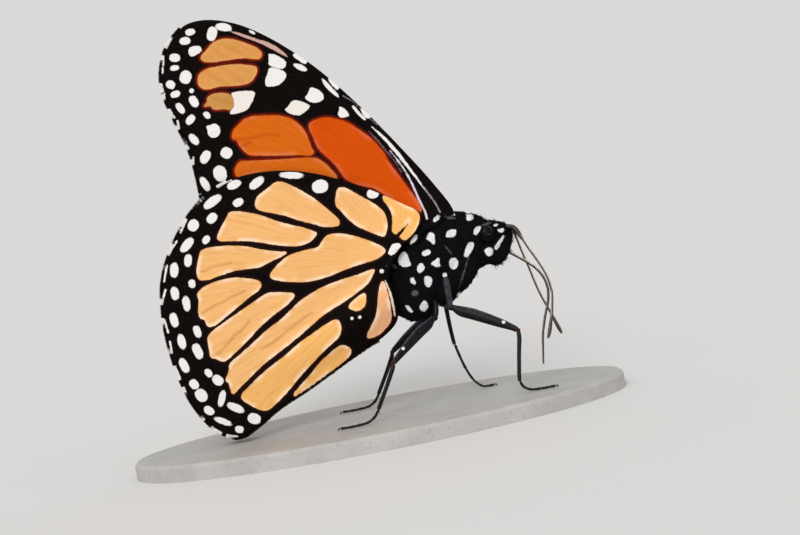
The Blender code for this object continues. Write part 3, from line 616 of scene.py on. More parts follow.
def wingOffset(side, layer):
    # how far a wing stands out from the middle plane at (x, z)
    form = wingForm
    x, z = side[:, 0], side[:, 1]
    bx, bz, reach, out = form["thoraxBulge"]
    d = np.hypot(x - bx, z - bz)
    swell = out * np.exp(-(d / reach) ** 2)
    if layer:
        (ax, az), (cx, cz) = form["abdomenLine"]
        t = np.clip(((x - ax) * (cx - ax) + (z - az) * (cz - az)) / ((cx - ax) ** 2 + (cz - az) ** 2), 0, 1)
        off = np.hypot(x - ax - t * (cx - ax), z - az - t * (cz - az))
        reach, out, taper = form["abdomenBulge"]
        swell = np.maximum(swell, out * (1 - taper * t) * np.exp(-(off / reach) ** 2))
    flare = form["flare"] * np.maximum(0, (d - form["flareFrom"]) / form["flareOver"]) ** 2
    # the root dives into the thorax
    sunk = form["sink"][layer] * ramp(-outlineDistance(side, rootFur), *form["sinkRamp"])
    return (form["rest"] ** 4 + swell ** 4) ** 0.25 + flare + form["step"] * layer - sunk


def wingFields(wing, places):
    # the markings at each place: how far outside the orange, how far outside the white, and their colours
    count = len(places)
    ink, tint = np.full(count, farOff), np.tile(linear(wingTints["pale"]), (count, 1))
    for name, corners in wing["cells"]:
        d = outlineDistance(places, corners) - wing["grow"].get(name, 0.1)
        tint[d < ink] = linear(wingTints[name])
        ink = np.minimum(ink, d)
    for rows in wing["cuts"]:
        ink = np.maximum(ink, -lineDistance(places, rows))
    white, pale = spotDistance(places, wing["spots"]), np.tile(linear(wingTints["white"]), (count, 1))
    drawn = [(name, outlineDistance(places, corners, 1)) for name, corners in wing["patches"]]
    # the pale lines: on the forewing's front edge these are painted highlights on the veins
    drawn += [(name, lineDistance(places, smoothPath(rows, 3))) for name, rows in wing["paleAndHighlightStreaks"]]
    for name, d in drawn:
        pale[d < white] = linear(wingTints[name])
        white = np.minimum(white, d)
    side = toSide(wing, places)
    onFur = np.maximum(outlinesDistance(side, bodySpots), 4 * outlineDistance(side, rootFur))
    edge = [lineDistance(places, mark) - wingForm["markWide"] for mark in wing["marks"]]
    white = nearest(count, [white, onFur, outlinesDistance(side, rootSpots), *edge])
    # how far each place is from the veins, and from the fold lines that carry painted shade
    rib, foldShade = [nearest(count, (lineDistance(places, smoothPath(rows, 4)) for rows in wing[key]))
                   for key in ("ribs", "foldShadeLines")]
    return dict(ink=ink, white=white, tintCell=tint, tintWhite=pale, rib=rib, foldShade=foldShade)


def wingSheet(margin, gap):
    # an even net of triangles inside the margin
    low, high = margin.min(0), margin.max(0)
    grid = []
    for k, v in enumerate(np.arange(low[1], high[1], gap * math.sqrt(0.75))):
        row = np.arange(low[0] + (k % 2) * gap / 2, high[0], gap)
        grid.append(np.stack([row, np.full(len(row), v)], 1))
    grid = np.concatenate(grid)
    points = np.vstack([margin, grid[marginDistance(grid, margin) < -0.55 * gap]])
    count = len(margin)
    edges = [(k, (k + 1) % count) for k in range(count)]
    made = delaunay_2d_cdt([Vector(p) for p in points], edges, [], 1, 1e-6)
    return np.array([tuple(p) for p in made[0]]), np.array(made[2])


def wingMaterial(wing):
    made, tree, shader = newMaterial(wing["scales"], Roughness=0.7, Specular_IOR_Level=0.045)
    at = field(tree, "place", "Vector")
    coarse, grain = noise(tree, at, 1.1, 2.0), noise(tree, at, 9.0, 2.0, 0.7)
    # a fine wobble makes the edges between the colours ragged
    ragged = plus(tree, wobble(tree, noise(tree, at, 4.5, 3.0, 0.65), 0.22), wobble(tree, coarse, 0.16))
    ink, white, foldShade = [plus(tree, field(tree, key), ragged) for key in ("ink", "white", "foldShade")]
    # the orange: long faint streaks out from the hinge, painted shade along the folds, paler next to the black
    streak = noise(tree, stretched(tree, field(tree, "fan", "Vector"), (0.22, 2.4, 1.0)), 1.0, 4.0, 0.6)
    cell = field(tree, "tintCell", "Color")
    cell = mixTint(tree, times(tree, between(tree, streak, 0.42, 0.74), 0.55), cell, wingTints["streak"])
    cell = mixTint(tree, between(tree, grain, 0.42, 0.75), cell, wingTints["grain"])
    cell = mixTint(tree, times(tree, between(tree, foldShade, 0.4, 0.0), 0.55), cell, wingTints["foldShade"])
    rim = times(tree, between(tree, noise(tree, at, 0.34, 1.0), 0.4, 0.6), wing["rimLight"])
    cell = mix(tree, between(tree, ink, -0.78, -0.15), cell, mix(tree, rim, cell, wingTints["rim"]))
    # the black: brownish, redder beside the orange
    black = mix(tree, between(tree, noise(tree, at, 2.3, 4.0, 0.7), 0.35, 0.75), *wingTints["black"])
    black = mix(tree, between(tree, ink, 0.5, 0.04), black, wing["halo"])
    colour = mix(tree, between(tree, ink, -0.045, 0.045), cell, black)
    pale = mixTint(tree, between(tree, grain, 0.35, 0.8), field(tree, "tintWhite", "Color"), wingTints["dust"])
    paint(tree, shader, mix(tree, between(tree, white, 0.06, -0.06), colour, pale))
    # rows of scales across the wing, over a soft unevenness
    rows = scaleCells(tree, stretched(tree, at, (5.5, 11.0, 1.0)), 1.0, random=0.75)
    bump(tree, shader, plus(tree, times(tree, rows, 0.5), times(tree, coarse, 1.6)), 0.03, 0.6)
    return made


def wingEdge(wing):
    # the outer line of the wing, set in where it is fringed, with the ways out and the strength of the fringe
    margin = evenly(smoothPath(wing["outline"], 12, True), wingForm["gap"], True)
    out = np.roll(margin, -1, axis=0) - np.roll(margin, 1, axis=0)
    out = unit(np.stack([out[:, 1], -out[:, 0]], 1))
    if ((margin - margin.mean(0)) * out).sum() < 0:
        out = -out
    first, last = [np.argmin(((margin - p) ** 2).sum(1)) for p in wing["fringed"]]
    ahead = (np.arange(len(margin)) - first) % len(margin)
    span = (last - first) % len(margin)
    fade = wingForm["fringeFade"]
    fringed = ramp(ahead, 0, fade) * ramp(span - ahead, 0, fade) * (ahead <= span)
    return margin - out * (wingForm["fringeInset"] * fringed)[:, None], out, fringed


def wingUv(places, sheet=0):
    (u, v), size = wingForm["uvStart"], wingForm["uvSize"]
    return np.c_[(places[:, 0] + u) / size + 0.5 * sheet, (places[:, 1] + v) / size]


def facing(points, tris, sign):
    # turns the triangles so that they look to the side given by sign
    a, b, c = points[tris[:, 0]], points[tris[:, 1]], points[tris[:, 2]]
    looks = np.cross(b - a, c - a)[:, 1].sum()
    return tris if looks * sign > 0 else tris[:, ::-1]


wingRoots = {}


def makeSheets(wing, sideName, sign, edge, sheets, fields, material):
    # the wing's outer and inner sheet, closed along the margin
    form, rim, name = wingForm, len(edge), f"{wing['name']}_{sideName}"
    points, faces, kept, uv, total = [], [], {}, [], 0
    for which, ((places, tris), values) in enumerate(zip(sheets, fields)):
        side = toSide(wing, places)
        ridge = form["ridge"] * ramp(values["ink"], -0.1, 0.16)
        ridge = ridge + form["rib"] * np.exp(-(values["rib"] / form["ribWide"]) ** 2)
        sag = -form["sag"] * (1 - np.exp(np.minimum(values["ink"], 0) / form["sagWide"]))
        thick = ramp(-marginDistance(places, edge), 0.0, form["edgeReach"])
        half = (form["thick"] / 2 + ridge + sag) * (form["edgeThin"] + (1 - form["edgeThin"]) * thick)
        y = wingOffset(side, wing["layer"]) + (-half if which else half)
        points.append(np.stack([side[:, 0], sign * y, side[:, 1]], 1))
        faces.append(facing(points[-1], tris, -sign if which else sign) + total)
        total += len(places)
        away = places + [3.0, 0]
        layer = np.full(len(places), 3.0 * which)
        fan = np.c_[np.hypot(away[:, 0], away[:, 1]), np.arctan2(away[:, 1], away[:, 0]) * 20, layer]
        cell = values["tintCell"]
        if which:
            # the upper side, folded inward, is a deeper and more even orange
            cell = cell * 0.35 + linear(wingTints["upper"]) * 0.65
        for key, value in dict(values, tintCell=cell, place=np.c_[places, layer], fan=fan).items():
            kept.setdefault(key, []).append(value)
        uv.append(wingUv(places, which))
    del kept["rib"]
    # the two sheets share their margin, so a band of faces joins them
    outer = len(points[0])
    band = [(k, (k + 1) % rim, outer + (k + 1) % rim, outer + k)[::sign] for k in range(rim)]
    mesh = makeMesh(name + "_sheet", np.vstack(points), [tuple(t) for part in faces for t in part.tolist()] + band,
                    {k: np.concatenate(v) for k, v in kept.items()}, np.vstack(uv))
    addPiece(name + "_sheet", mesh, material, [name])
    wingRoots[name] = (points[0], faces[0], readOut(mesh.vertices, "normal", 3)[:outer], uv[0])


def fringeBlades(wing, edge, out, fringed):
    # small flat blades round the outer margin: where they stand, their five corners and how far they lift
    form = wingForm
    rng = np.random.default_rng(11 + wing["layer"])
    roots = np.flatnonzero(fringed > form["fringeFrom"])
    hairs = np.concatenate([roots + step for step in form["fringeSteps"]]) % len(edge)
    low = np.floor(hairs).astype(int)
    high, share = (low + 1) % len(edge), (hairs - low)[:, None]
    root, way = [values[low] * (1 - share) + values[high] * share for values in (edge, out)]
    lean = rng.normal(0, form["fringeLean"], len(hairs))[:, None]
    way = way + np.stack([-way[:, 1], way[:, 0]], 1) * lean
    long = (form["fringe"] * rng.uniform(*form["fringeLengths"], len(hairs)))[:, None]
    across = np.stack([-way[:, 1], way[:, 0]], 1) * form["bladeWide"]
    lift = rng.uniform(-form["fringeLift"], form["fringeLift"], len(hairs))
    foot, middle = root - way * form["bladeRoot"], root + way * long * 0.55
    corners = [foot - across, foot + across, middle + across * 0.95, middle - across * 0.95, root + way * long]
    return root, corners, lift


def makeFringe(wing, sideName, sign, root, corners, lift, fields, material):
    name, count = f"{wing['name']}_{sideName}_fringe", len(root)
    flat = []
    for corner in corners:
        side = toSide(wing, corner)
        flat.append(np.stack([side[:, 0], sign * (wingOffset(side, wing["layer"]) + lift), side[:, 1]], 1))
    thickness = np.array([0, sign * wingForm["bladeThick"], 0])
    points = np.stack(flat + [f + thickness * w for f, w in zip(flat, (1, 1, 1, 1, 0.2))], 1).reshape(-1, 3)
    pattern = [(0, 1, 2, 3), (3, 2, 4), (8, 7, 6, 5), (9, 7, 8), (0, 3, 8, 5), (3, 4, 9, 8), (4, 2, 7, 9),
               (2, 1, 6, 7), (1, 0, 5, 6)]
    faces = [tuple(10 * k + c for c in face[::-sign]) for k in range(count) for face in pattern]
    spread = np.array([(-1, -1), (1, -1), (1, 0), (-1, 0), (0, 1)] * 2) * wingForm["bladePatch"]
    uv = (wingUv(root)[:, None] + spread[None]).reshape(-1, 2)
    values = dict(fields, place=np.c_[root, np.full(count, 6.0)], fan=np.c_[root, np.full(count, 6.0)])
    values = {k: np.repeat(v, 10, axis=0) for k, v in values.items() if k != "rib"}
    values["ink"] = np.full(len(points), 2.0)
    addPiece(name, makeMesh(name, points, faces, values, uv), material)


def makeWing(wing):
    material = wingMaterial(wing)
    edge, out, fringed = wingEdge(wing)
    sheets = [wingSheet(edge, wingForm[gap]) for gap in ("gap", "insideGap")]
    fields = [wingFields(wing, places) for places, tris in sheets]
    blades = fringeBlades(wing, edge, out, fringed)
    bladeFields = wingFields(wing, blades[0])
    for sign, sideName in ((-1, "right"), (1, "left")):
        makeSheets(wing, sideName, sign, edge, sheets, fields, material)
        makeFringe(wing, sideName, sign, *blades, bladeFields, material)
    print(wing["name"], "pair made,", sum(len(tris) for places, tris in sheets), "faces a wing,",
          len(blades[0]), "fringe hairs")


makeWing(foreWing)
makeWing(hindWing)


body = dict(
    voxel=0.2, smoothing=4, smoothShare=0.6, sides=32, square=dict(thorax=2.5, head=2.3, chest=2.4),
    # grooves: their depths, then where they run at (x, z), their lean or way, and their width
    segmentGroove=0.14, seamGroove=0.08, neckGroove=0.1,
    segments=dict(start=(6.0, 20.0), way=(0.91, 0.42), long=1.95), seam=(15.4, 24, 0.35, 0.22), neckFold=(20.3, 0.3),
    # (x, y, z, half width, up, down) of each cross cut, as wide as the tips of the coat
    thorax=[(5.6, 0, 19.8, 1.5, 3, 2.4), (6.5, 0, 20.3, 2, 4.2, 3.4), (7.6, 0, 20.8, 2.6, 5.7, 4.7),
        (9.4, 0, 21.7, 3.3, 6.9, 6.5), (12.1, 0, 23, 3.7, 7.2, 7), (14.8, 0, 24.3, 3.7, 6.7, 4.3),
        (17, 0, 25.4, 3.4, 5.9, 3.5), (18.6, 0, 26.2, 2.8, 4.9, 2.9), (19.8, 0, 26.5, 2.1, 4.3, 2.3)],
    abdomen=[(-8.8, 0, 13.4, 1.1, 1.2, 1.2), (-6.6, 0, 14.4, 1.8, 2, 2), (-3, 0, 16, 2.3, 2.6, 2.6),
        (0.8, 0, 17.7, 2.4, 2.9, 2.9), (3.6, 0, 18.9, 2.3, 2.9, 3), (6.5, 0, 20.2, 1.9, 2.4, 2.9)],
    head=[(20.6, 0, 26.8, 1.6, 3.2, 2.5), (22, 0, 26.8, 1.75, 2.8, 3), (23.2, 0, 26.7, 1.8, 2.15, 2.6),
        (24.4, 0, 26.4, 1.6, 2, 2), (25.4, 0, 26.1, 1.25, 1.85, 1.6), (26.15, 0, 25.9, 0.8, 1.15, 1)],
    neck=[(17.8, 0, 26.2, 2.8, 4.8, 2.8), (19.4, 0, 26.4, 2.5, 4.3, 3), (20.8, 0, 26.6, 2.15, 3.75, 3),
        (22.1, 0, 26.8, 1.8, 2.85, 2.8)],
    chest=[(13.6, 0, 19.9, 2.9, 2, 3.1), (15.6, 0, 21.2, 3.1, 2.4, 3.8), (17.4, 0, 22.4, 2.95, 2.4, 3.6),
        (19, 0, 23.6, 2.55, 2.4, 3.5), (20.6, 0, 24.6, 2.05, 2, 3.2), (22, 0, 25, 1.6, 1.6, 3.2)],
    mouth=[(20.8, 0, 25, 1.6, 1.5, 2.7), (22.2, 0, 24.7, 1.75, 1.6, 3), (23.4, 0, 24.6, 1.8, 1.6, 2.8),
        (24.5, 0, 25, 1.6, 1.4, 2.2), (25.2, 0, 25.4, 1.2, 1, 1.5), (25.9, 0, 25.6, 0.8, 0.8, 0.9)],
    # (x, y, z, radius)
    palp=[(21.8, 1, 22.8, 0.6), (23, 1.05, 22.35, 0.9), (24, 1.05, 22.95, 0.93), (24.75, 1, 23.9, 0.85),
        (25.3, 0.95, 24.8, 0.78), (25.7, 0.85, 25.5, 0.55)],
    foreLeg=[(20.9, 1.3, 23.3, 0.6), (20, 1.6, 22.55, 1), (18.8, 1.85, 21.25, 1.08), (17.6, 1.85, 20, 1),
        (16.8, 1.5, 19, 0.6)],
    coatDepth=dict(thorax=0.35, abdomen=0.3, head=0.25, neck=0.3, chest=0.25, mouth=0.2, palp=0.18, foreLeg=0.18),
)

eyes = dict(
    centre=(22.45, 1.2, 26.5), radius=1.42, deep=1.02, rows=22, sides=44,
    # the faint ring on each eye is a painted reflection
    glint=(22.6, 27.15, 0.6),  # a faint ring: its middle (x, z) and its radius
    dark=((2, 2, 3), (10, 8, 10)), ring=(70, 68, 72),
)

# on the back: (x, y, length, width, angle) seen from above, mirrored
backSpots = [(22.7, 0.4, 0.7, 0.4, 20), (20.4, 0.75, 0.9, 0.6, 0), (17.6, 1.15, 1.2, 0.7, 25),
    (14.4, 1.35, 1.2, 0.7, 0)]
# a row along each side of the abdomen, one for each segment
abdomenSpots = [(3.6 - 2.05 * k, 16.8 - 0.86 * k, 0.95 - 0.06 * k, 0.42, 24) for k in range(6)]

furTints = dict(
    dark=((3, 3, 4), (13, 12, 15)), tip=(36, 36, 42), grey=(120, 120, 126), sheen=(190, 196, 215),
    white=((236, 234, 235), (252, 251, 250)),
)


def closedRings(points, count, sides):
    # faces for so many rings of points, closed with the last two points as caps
    k = np.arange(count - 1)[:, None] * sides
    a = np.arange(sides)[None]
    b = (a + 1) % sides
    quads = np.stack([k + a, k + b, k + sides + b, k + sides + a], 2).reshape(-1, 4)
    first, last, top = count * sides, count * sides + 1, (count - 1) * sides
    pairs = list(zip(a[0].tolist(), b[0].tolist()))
    faces = [tuple(q) for q in quads.tolist()]
    faces += [(first, j, i) for i, j in pairs] + [(last, top + i, top + j) for i, j in pairs]
    return points, faces


def ringShell(name, steps=5):
    # a closed shell from upright cross cuts, thinner by the depth of the coat
    line, sides = smoothPath(body[name], steps), body["sides"]
    turn = np.linspace(0, 2 * math.pi, sides, endpoint=False)
    c, s = [np.sign(v) * np.abs(v) ** (2 / body["square"].get(name, 2.0)) for v in (np.cos(turn), np.sin(turn))]
    half, up, down = [np.maximum(line[:, k] - body["coatDepth"][name], 0.2)[:, None] for k in (3, 4, 5)]
    y = line[:, 1:2] + half * c
    z = line[:, 2:3] + np.where(s > 0, up, down) * s
    rings = np.stack([np.repeat(line[:, :1], sides, 1), y, z], 2).reshape(-1, 3)
    ends = [line[0, :3] - [0.5 * half[0, 0], 0, 0], line[-1, :3] + [0.5 * half[-1, 0], 0, 0]]
    return closedRings(np.vstack([rings, ends]), len(line), sides)


def tube(rows, steps, sides, across=(0, 1, 0), shape=None, tip=0.08):
    # a closed tube along the rows (x, y, z, radius or half width, half height)
    line = smoothPath(rows, steps)
    if line.shape[1] == 4:
        line = np.c_[line, line[:, 3]]
    at = line[:, :3]
    ahead = unit(np.gradient(at, axis=0))
    side = unit(np.array(across, float) - (ahead @ np.array(across, float))[:, None] * ahead)
    over = np.cross(side, ahead)
    along = np.r_[0, np.cumsum(np.linalg.norm(np.diff(at, axis=0), axis=1))]
    size = shape(along / along[-1]) if shape else np.ones(len(line))
    # the ends are rounded off
    for away, radius in ((along, line[0, 3]), (along[-1] - along, line[-1, 3])):
        size = size * np.sqrt(1 - 0.92 * (1 - np.clip(away / radius, 0, 1)) ** 2)
    turn = np.linspace(0, 2 * math.pi, sides, endpoint=False)
    rings = (at[:, None] + side[:, None] * (np.cos(turn)[None] * (line[:, 3] * size)[:, None])[..., None]
             + over[:, None] * (np.sin(turn)[None] * (line[:, 4] * size)[:, None])[..., None])
    ends = [at[0] - ahead[0] * line[0, 3] * tip, at[-1] + ahead[-1] * line[-1, 3] * tip]
    points, faces = closedRings(np.vstack([rings.reshape(-1, 3), ends]), len(line), sides)
    top = np.where(over[:, 2:] >= 0, np.sin(turn)[None], -np.sin(turn)[None])
    return points, faces, dict(along=np.r_[np.repeat(along / along[-1], sides), 0, 1], top=np.r_[top.ravel(), 0, 0])


def joined(parts):
    # several shells as one list of points and faces, with their fields one after another
    points, faces, fields, total = [], [], {}, 0
    for part in parts:
        points.append(part[0])
        faces += [tuple(c + total for c in f) for f in part[1]]
        total += len(part[0])
        for key, value in (part[2] if len(part) > 2 else {}).items():
            fields.setdefault(key, []).append(value)
    return np.vstack(points), faces, {k: np.concatenate(v) for k, v in fields.items()}


def flipped(part):
    # the same piece on the other side of the body
    return (part[0] * [1, -1, 1], [f[::-1] for f in part[1]], *part[2:])


def makeSkin():
    shells = [ringShell(name) for name in ("thorax", "abdomen", "head", "neck", "chest", "mouth")]
    for name in ("palp", "foreLeg"):
        limb = tube([(x, y, z, r - body["coatDepth"][name]) for x, y, z, r in body[name]], 6, 16)[:2]
        shells += [limb, flipped(limb)]
    points, faces, _ = joined(shells)
    # the shells are grown together at a hundred times their size, where the net may be as fine as this
    big = 0.1
    rough = bpy.data.meshes.new("rough")
    rough.from_pydata((points * big).tolist(), [], faces)
    holder = place("rough", rough)
    grow = holder.modifiers.new("grow", "REMESH")
    grow.mode, grow.voxel_size = "VOXEL", body["voxel"] * big
    shape = holder.evaluated_get(bpy.context.evaluated_depsgraph_get()).to_mesh()
    at = readOut(shape.vertices, "co", 3) / big
    faces = [tuple(p.vertices) for p in shape.polygons]
    edges = np.array([tuple(e.vertices) for e in shape.edges])
    bpy.data.objects.remove(holder)
    bpy.data.meshes.remove(rough)
    near = np.bincount(edges.ravel(), minlength=len(at))[:, None]
    for _ in range(body["smoothing"]):
        total = np.zeros_like(at)
        np.add.at(total, edges[:, 0], at[edges[:, 1]])
        np.add.at(total, edges[:, 1], at[edges[:, 0]])
        at += body["smoothShare"] * (total / near - at)
    # folds: rings round the abdomen, a seam between the plates of the thorax, and the neck
    mesh = makeMesh("skin", at, faces)
    normal = readOut(mesh.vertices, "normal", 3)
    bpy.data.meshes.remove(mesh)
    x, z = at[:, 0], at[:, 2]
    (startX, startZ), (wayX, wayZ), long = body["segments"].values()
    down = (x - startX) * wayX + (z - startZ) * wayZ
    ring = np.abs((down / long) % 1.0 - 0.5) * 2
    fold = -body["segmentGroove"] * ramp(ring, 0.78, 1.0) * ramp(-down, 0.6, 1.6)
    seamX, seamZ, lean, wide = body["seam"]
    seam = np.exp(-((x - seamX - lean * (z - seamZ)) / wide) ** 2) * (x > 9) * (z > 21)
    neckX, wide = body["neckFold"]
    fold = fold - body["seamGroove"] * seam - body["neckGroove"] * np.exp(-((x - neckX) / wide) ** 2)
    return at + normal * fold[:, None], faces


def bodyFields(at):
    # how far each point is outside the white and the grey markings
    side, above = at[:, [0, 2]], np.c_[at[:, 0], np.abs(at[:, 1])]
    edge = np.maximum(0, 0.8 - above[:, 1]) * 1.5
    white = np.minimum(outlinesDistance(side, bodySpots + rootSpots), spotDistance(side, abdomenSpots)) + edge
    white = np.minimum(white, spotDistance(above, backSpots) + np.maximum(0, 27.0 - at[:, 2]) * 2)
    return dict(white=white, grey=spotDistance(side, greySpots) + edge)


def furMaterial():
    made, tree, shader = newMaterial("furVelvet", Roughness=0.7, Specular_IOR_Level=0.07, Sheen_Weight=0.02,
                                     Sheen_Roughness=0.35, Sheen_Tint=(*linear(furTints["sheen"]), 1))
    where, hue = objectPlace(tree), field(tree, "hue")
    cloudy = plus(tree, times(tree, hue, 0.6), times(tree, noise(tree, where, 900.0, 3.0, 0.6), 0.6))
    dark = mix(tree, between(tree, cloudy, 0.3, 0.95), *furTints["dark"])
    dark = mix(tree, times(tree, between(tree, field(tree, "tip"), 0.55, 1.0), 0.3), dark, furTints["tip"])
    # each hair is wholly dark or pale, so the markings' edges are ragged by hairs
    jag = wobble(tree, hue, 0.16)
    greyed = times(tree, between(tree, plus(tree, field(tree, "grey"), jag), 0.08, -0.08), 0.55)
    snow = between(tree, plus(tree, field(tree, "white"), jag), 0.03, -0.03)
    colour = mix(tree, greyed, dark, furTints["grey"])
    paint(tree, shader, mix(tree, snow, colour, mix(tree, hue, *furTints["white"])))
    bump(tree, shader, noise(tree, stretched(tree, where, (5200.0, 14000.0, 14000.0)), 1.0, 3.0, 0.7), 0.06, 0.7)
    return made


fur = furMaterial()
skinAt, skinFaces = makeSkin()
skinFields = dict(bodyFields(skinAt), hue=np.full(len(skinAt), 0.2), tip=np.zeros(len(skinAt)))
skinMesh = makeMesh("skin", skinAt, skinFaces, skinFields)
skin = addPiece("skin", skinMesh, fur,
                ["thorax", "abdomen", "head", "palp_right", "palp_left", "foreleg_right", "foreleg_left"])
bpy.context.view_layer.objects.active = skin
skin.select_set(True)
skinMesh.uv_layers.new(name="OFBake")
bpy.ops.object.mode_set(mode="EDIT")
bpy.ops.mesh.select_all(action="SELECT")
bpy.ops.uv.smart_project(angle_limit=math.radians(62), island_margin=0.002)
bpy.ops.object.mode_set(mode="OBJECT")
skin.select_set(False)
print("skin grown,", len(skinFaces), "faces")


coat = dict(
    seed=7, thickness=0.34, sunk=0.07, roundness=0.55, twist=0.22, patch=0.0015,
    lengths=(0.7, 1.2), widths=(0.8, 1.2), lifts=(0.5, 1.5), clumps=(0.35, 0.85),
    # where the kinds of coat meet, how much is bare round the eye, and how far it runs over the wings' roots
    abdomenEnd=6.6, headStart=20.6, palpStart=22, palpTop=24.6, eyeBare=1.3, rootReach=(-1.3, 0.7),
    # hairs per square millimetre, length, width, lift in degrees, how far stray tufts stand out, the way
    # the hairs lie and how far they part to the sides
    thorax=dict(dense=52, long=0.62, wide=0.115, lift=17, ruffle=0.6, way=(-1.0, 0, -0.32), part=0),
    abdomen=dict(dense=42, long=0.50, wide=0.13, lift=10, ruffle=0.5, way=(-0.91, 0, -0.42), part=0),
    head=dict(dense=95, long=0.42, wide=0.085, lift=24, ruffle=0.7, way=(-1.0, 0, 0.18), part=0.4),
    palp=dict(dense=110, long=0.52, wide=0.075, lift=22, ruffle=1.1, way=(0.75, 0, 0.5), part=0),
    root=dict(dense=60, long=0.6, wide=0.11, lift=12, ruffle=0.5, way=(-1.0, 0, -0.1), part=0),
)


def pickTriangles(corners, chosen, dense, rng):
    # triangles of the chosen ones at random, each as often as its area calls for
    a, b, c = [corners[chosen][:, k] for k in range(3)]
    area = np.linalg.norm(np.cross(b - a, c - a), axis=1) / 2
    return rng.choice(chosen, int(area.sum() * dense), p=area / area.sum())


def makeTufts(name, spec, rng, weights, at, normal, uv):
    # thin tapered hairs that leave the skin at a low angle and bend back towards it
    # at, normal and uv are of the three corners round each hair, and weights say how near it is to each
    roots, normal, uv = [(weights[:, :, None] * values).sum(1) for values in (at, normal, uv)]
    normal = unit(normal)
    count = len(roots)
    way = np.array(spec["way"]) + np.sign(roots[:, 1:2]) * [0, spec["part"], 0]
    along = unit(way - (way * normal).sum(1)[:, None] * normal)
    twist = rng.normal(0, coat["twist"], count)[:, None]
    side = np.cross(normal, along)
    along, side = along * np.cos(twist) + side * np.sin(twist), side * np.cos(twist) - along * np.sin(twist)
    # here and there a small clump stands out
    clump = np.sin(roots @ (5.1, 3.7, 4.3) + 1.0) * np.sin(roots @ (-3.9, 2.8, 5.6))
    stray = 1 + spec["ruffle"] * ramp(clump, *coat["clumps"])
    long = (spec["long"] * rng.uniform(*coat["lengths"], count) * (0.6 + 0.4 * stray))[:, None]
    wide = (spec["wide"] * rng.uniform(*coat["widths"], count))[:, None]
    rise = np.tan(np.radians(spec["lift"] * rng.uniform(*coat["lifts"], count) * stray))[:, None]
    base = roots - normal * coat["sunk"]
    points = []
    for s, w in ((0.0, 0.75), (0.4, 1.0), (0.78, 0.62)):
        middle = base + along * long * s + normal * long * rise * (s - 0.45 * s * s)
        beside = side * wide * w / 2
        points += [middle - beside, middle + beside, middle + normal * wide * coat["thickness"] * w]
    points.append(base + along * long + normal * long * rise * 0.5)
    each = len(points)
    points = np.stack(points, 1).reshape(-1, 3)
    pattern = [(r + i, r + j, r + 3 + j, r + 3 + i) for r in (0, 3) for i, j in ((0, 1), (1, 2), (2, 0))]
    ends = [(6, 7, 9), (7, 8, 9), (8, 6, 9), (2, 1, 0)]
    start = (np.arange(count) * each)[:, None, None]
    faces = [tuple(f) for shape, width in ((pattern, 4), (ends, 3))
             for f in (np.array(shape)[None] + start).reshape(-1, width).tolist()]
    fields = dict(bodyFields(points), hue=np.repeat(rng.uniform(0, 1, count), each),
                  tip=np.tile(np.repeat([0, 0.4, 0.78, 1.0], (3, 3, 3, 1)), count))
    patch = np.array([(-1, -1), (1, -1), (0, -1), (-1, 0), (1, 0), (0, 0), (-0.6, 0.6), (0.6, 0.6), (0, 0.6),
                      (0, 1)]) * coat["patch"]
    uv = np.clip(uv[:, None] + patch[None], 0.0005, 0.9995).reshape(-1, 2)
    mesh = makeMesh(name, points, faces, fields, uv)
    # a hair is lit mostly as the skin under it is, which keeps the coat even and soft
    ring = np.stack([normal - side * coat["roundness"], normal + side * coat["roundness"], normal], 1)
    lit = unit(np.concatenate([ring, ring, ring, (normal + along * 0.3)[:, None]], 1).reshape(-1, 3))
    mesh.normals_split_custom_set_from_vertices(lit.tolist())
    addPiece(name, mesh, fur)
    print(name, "made,", count, "hairs,", count * 16, "triangles")


def makeCoat():
    skinMesh.calc_loop_triangles()
    corners, loops = [readOut(skinMesh.loop_triangles, what, 3, np.int32) for what in ("vertices", "loops")]
    uv = readOut(skinMesh.uv_layers["OFBake"].data, "uv", 2)[loops]
    normal = readOut(skinMesh.vertices, "normal", 3)[corners]
    at = skinAt[corners]
    x, y, z = ((at[:, 0] + at[:, 1] + at[:, 2]) / 3).T
    region = np.where(x > coat["headStart"], "head", "thorax").astype(object)
    region[x < coat["abdomenEnd"]] = "abdomen"
    ahead = x - coat["palpStart"]
    region[(z < coat["palpTop"] + 0.3 * ahead) & (np.abs(y) > 0.3) & (ahead > 0)] = "palp"
    bare = (np.hypot(x - eyes["centre"][0], z - eyes["centre"][2]) < coat["eyeBare"]) & (np.abs(y) > 1.0)
    for name, side in (("thorax", "_right"), ("thorax", "_left"), ("abdomen", ""), ("head", ""), ("palp", "")):
        spec = coat[name]
        rng = np.random.default_rng(coat["seed"] + len(name) + 3 * (side == "_left"))
        keep = (region == name) & ~bare
        if side:
            keep &= (y < 0) == (side == "_right")
        pick = pickTriangles(at, np.flatnonzero(keep), spec["dense"], rng)
        r1, r2 = np.sqrt(rng.uniform(0, 1, len(pick))), rng.uniform(0, 1, len(pick))
        weights = np.stack([1 - r1, r1 * (1 - r2), r1 * r2], 1)
        makeTufts(f"coat_{name}{side}", spec, rng, weights, at[pick], normal[pick], uv[pick])


def makeRootFur():
    # the fur of the thorax runs out over the wings' roots
    low, high = coat["rootReach"]
    for name, (at, tris, normal, uv) in wingRoots.items():
        rng = np.random.default_rng(coat["seed"] + len(name))
        reach = outlineDistance(at[tris].mean(1)[:, [0, 2]], rootFur)
        chosen = np.flatnonzero((reach < high) & (reach > low))
        pick = tris[pickTriangles(at[tris], chosen, coat["root"]["dense"], rng)]
        weights = rng.dirichlet((1, 1, 1), len(pick))
        makeTufts(f"coat_{name}", coat["root"], rng, weights, at[pick], normal[pick], uv[pick])


makeCoat()
makeRootFur()


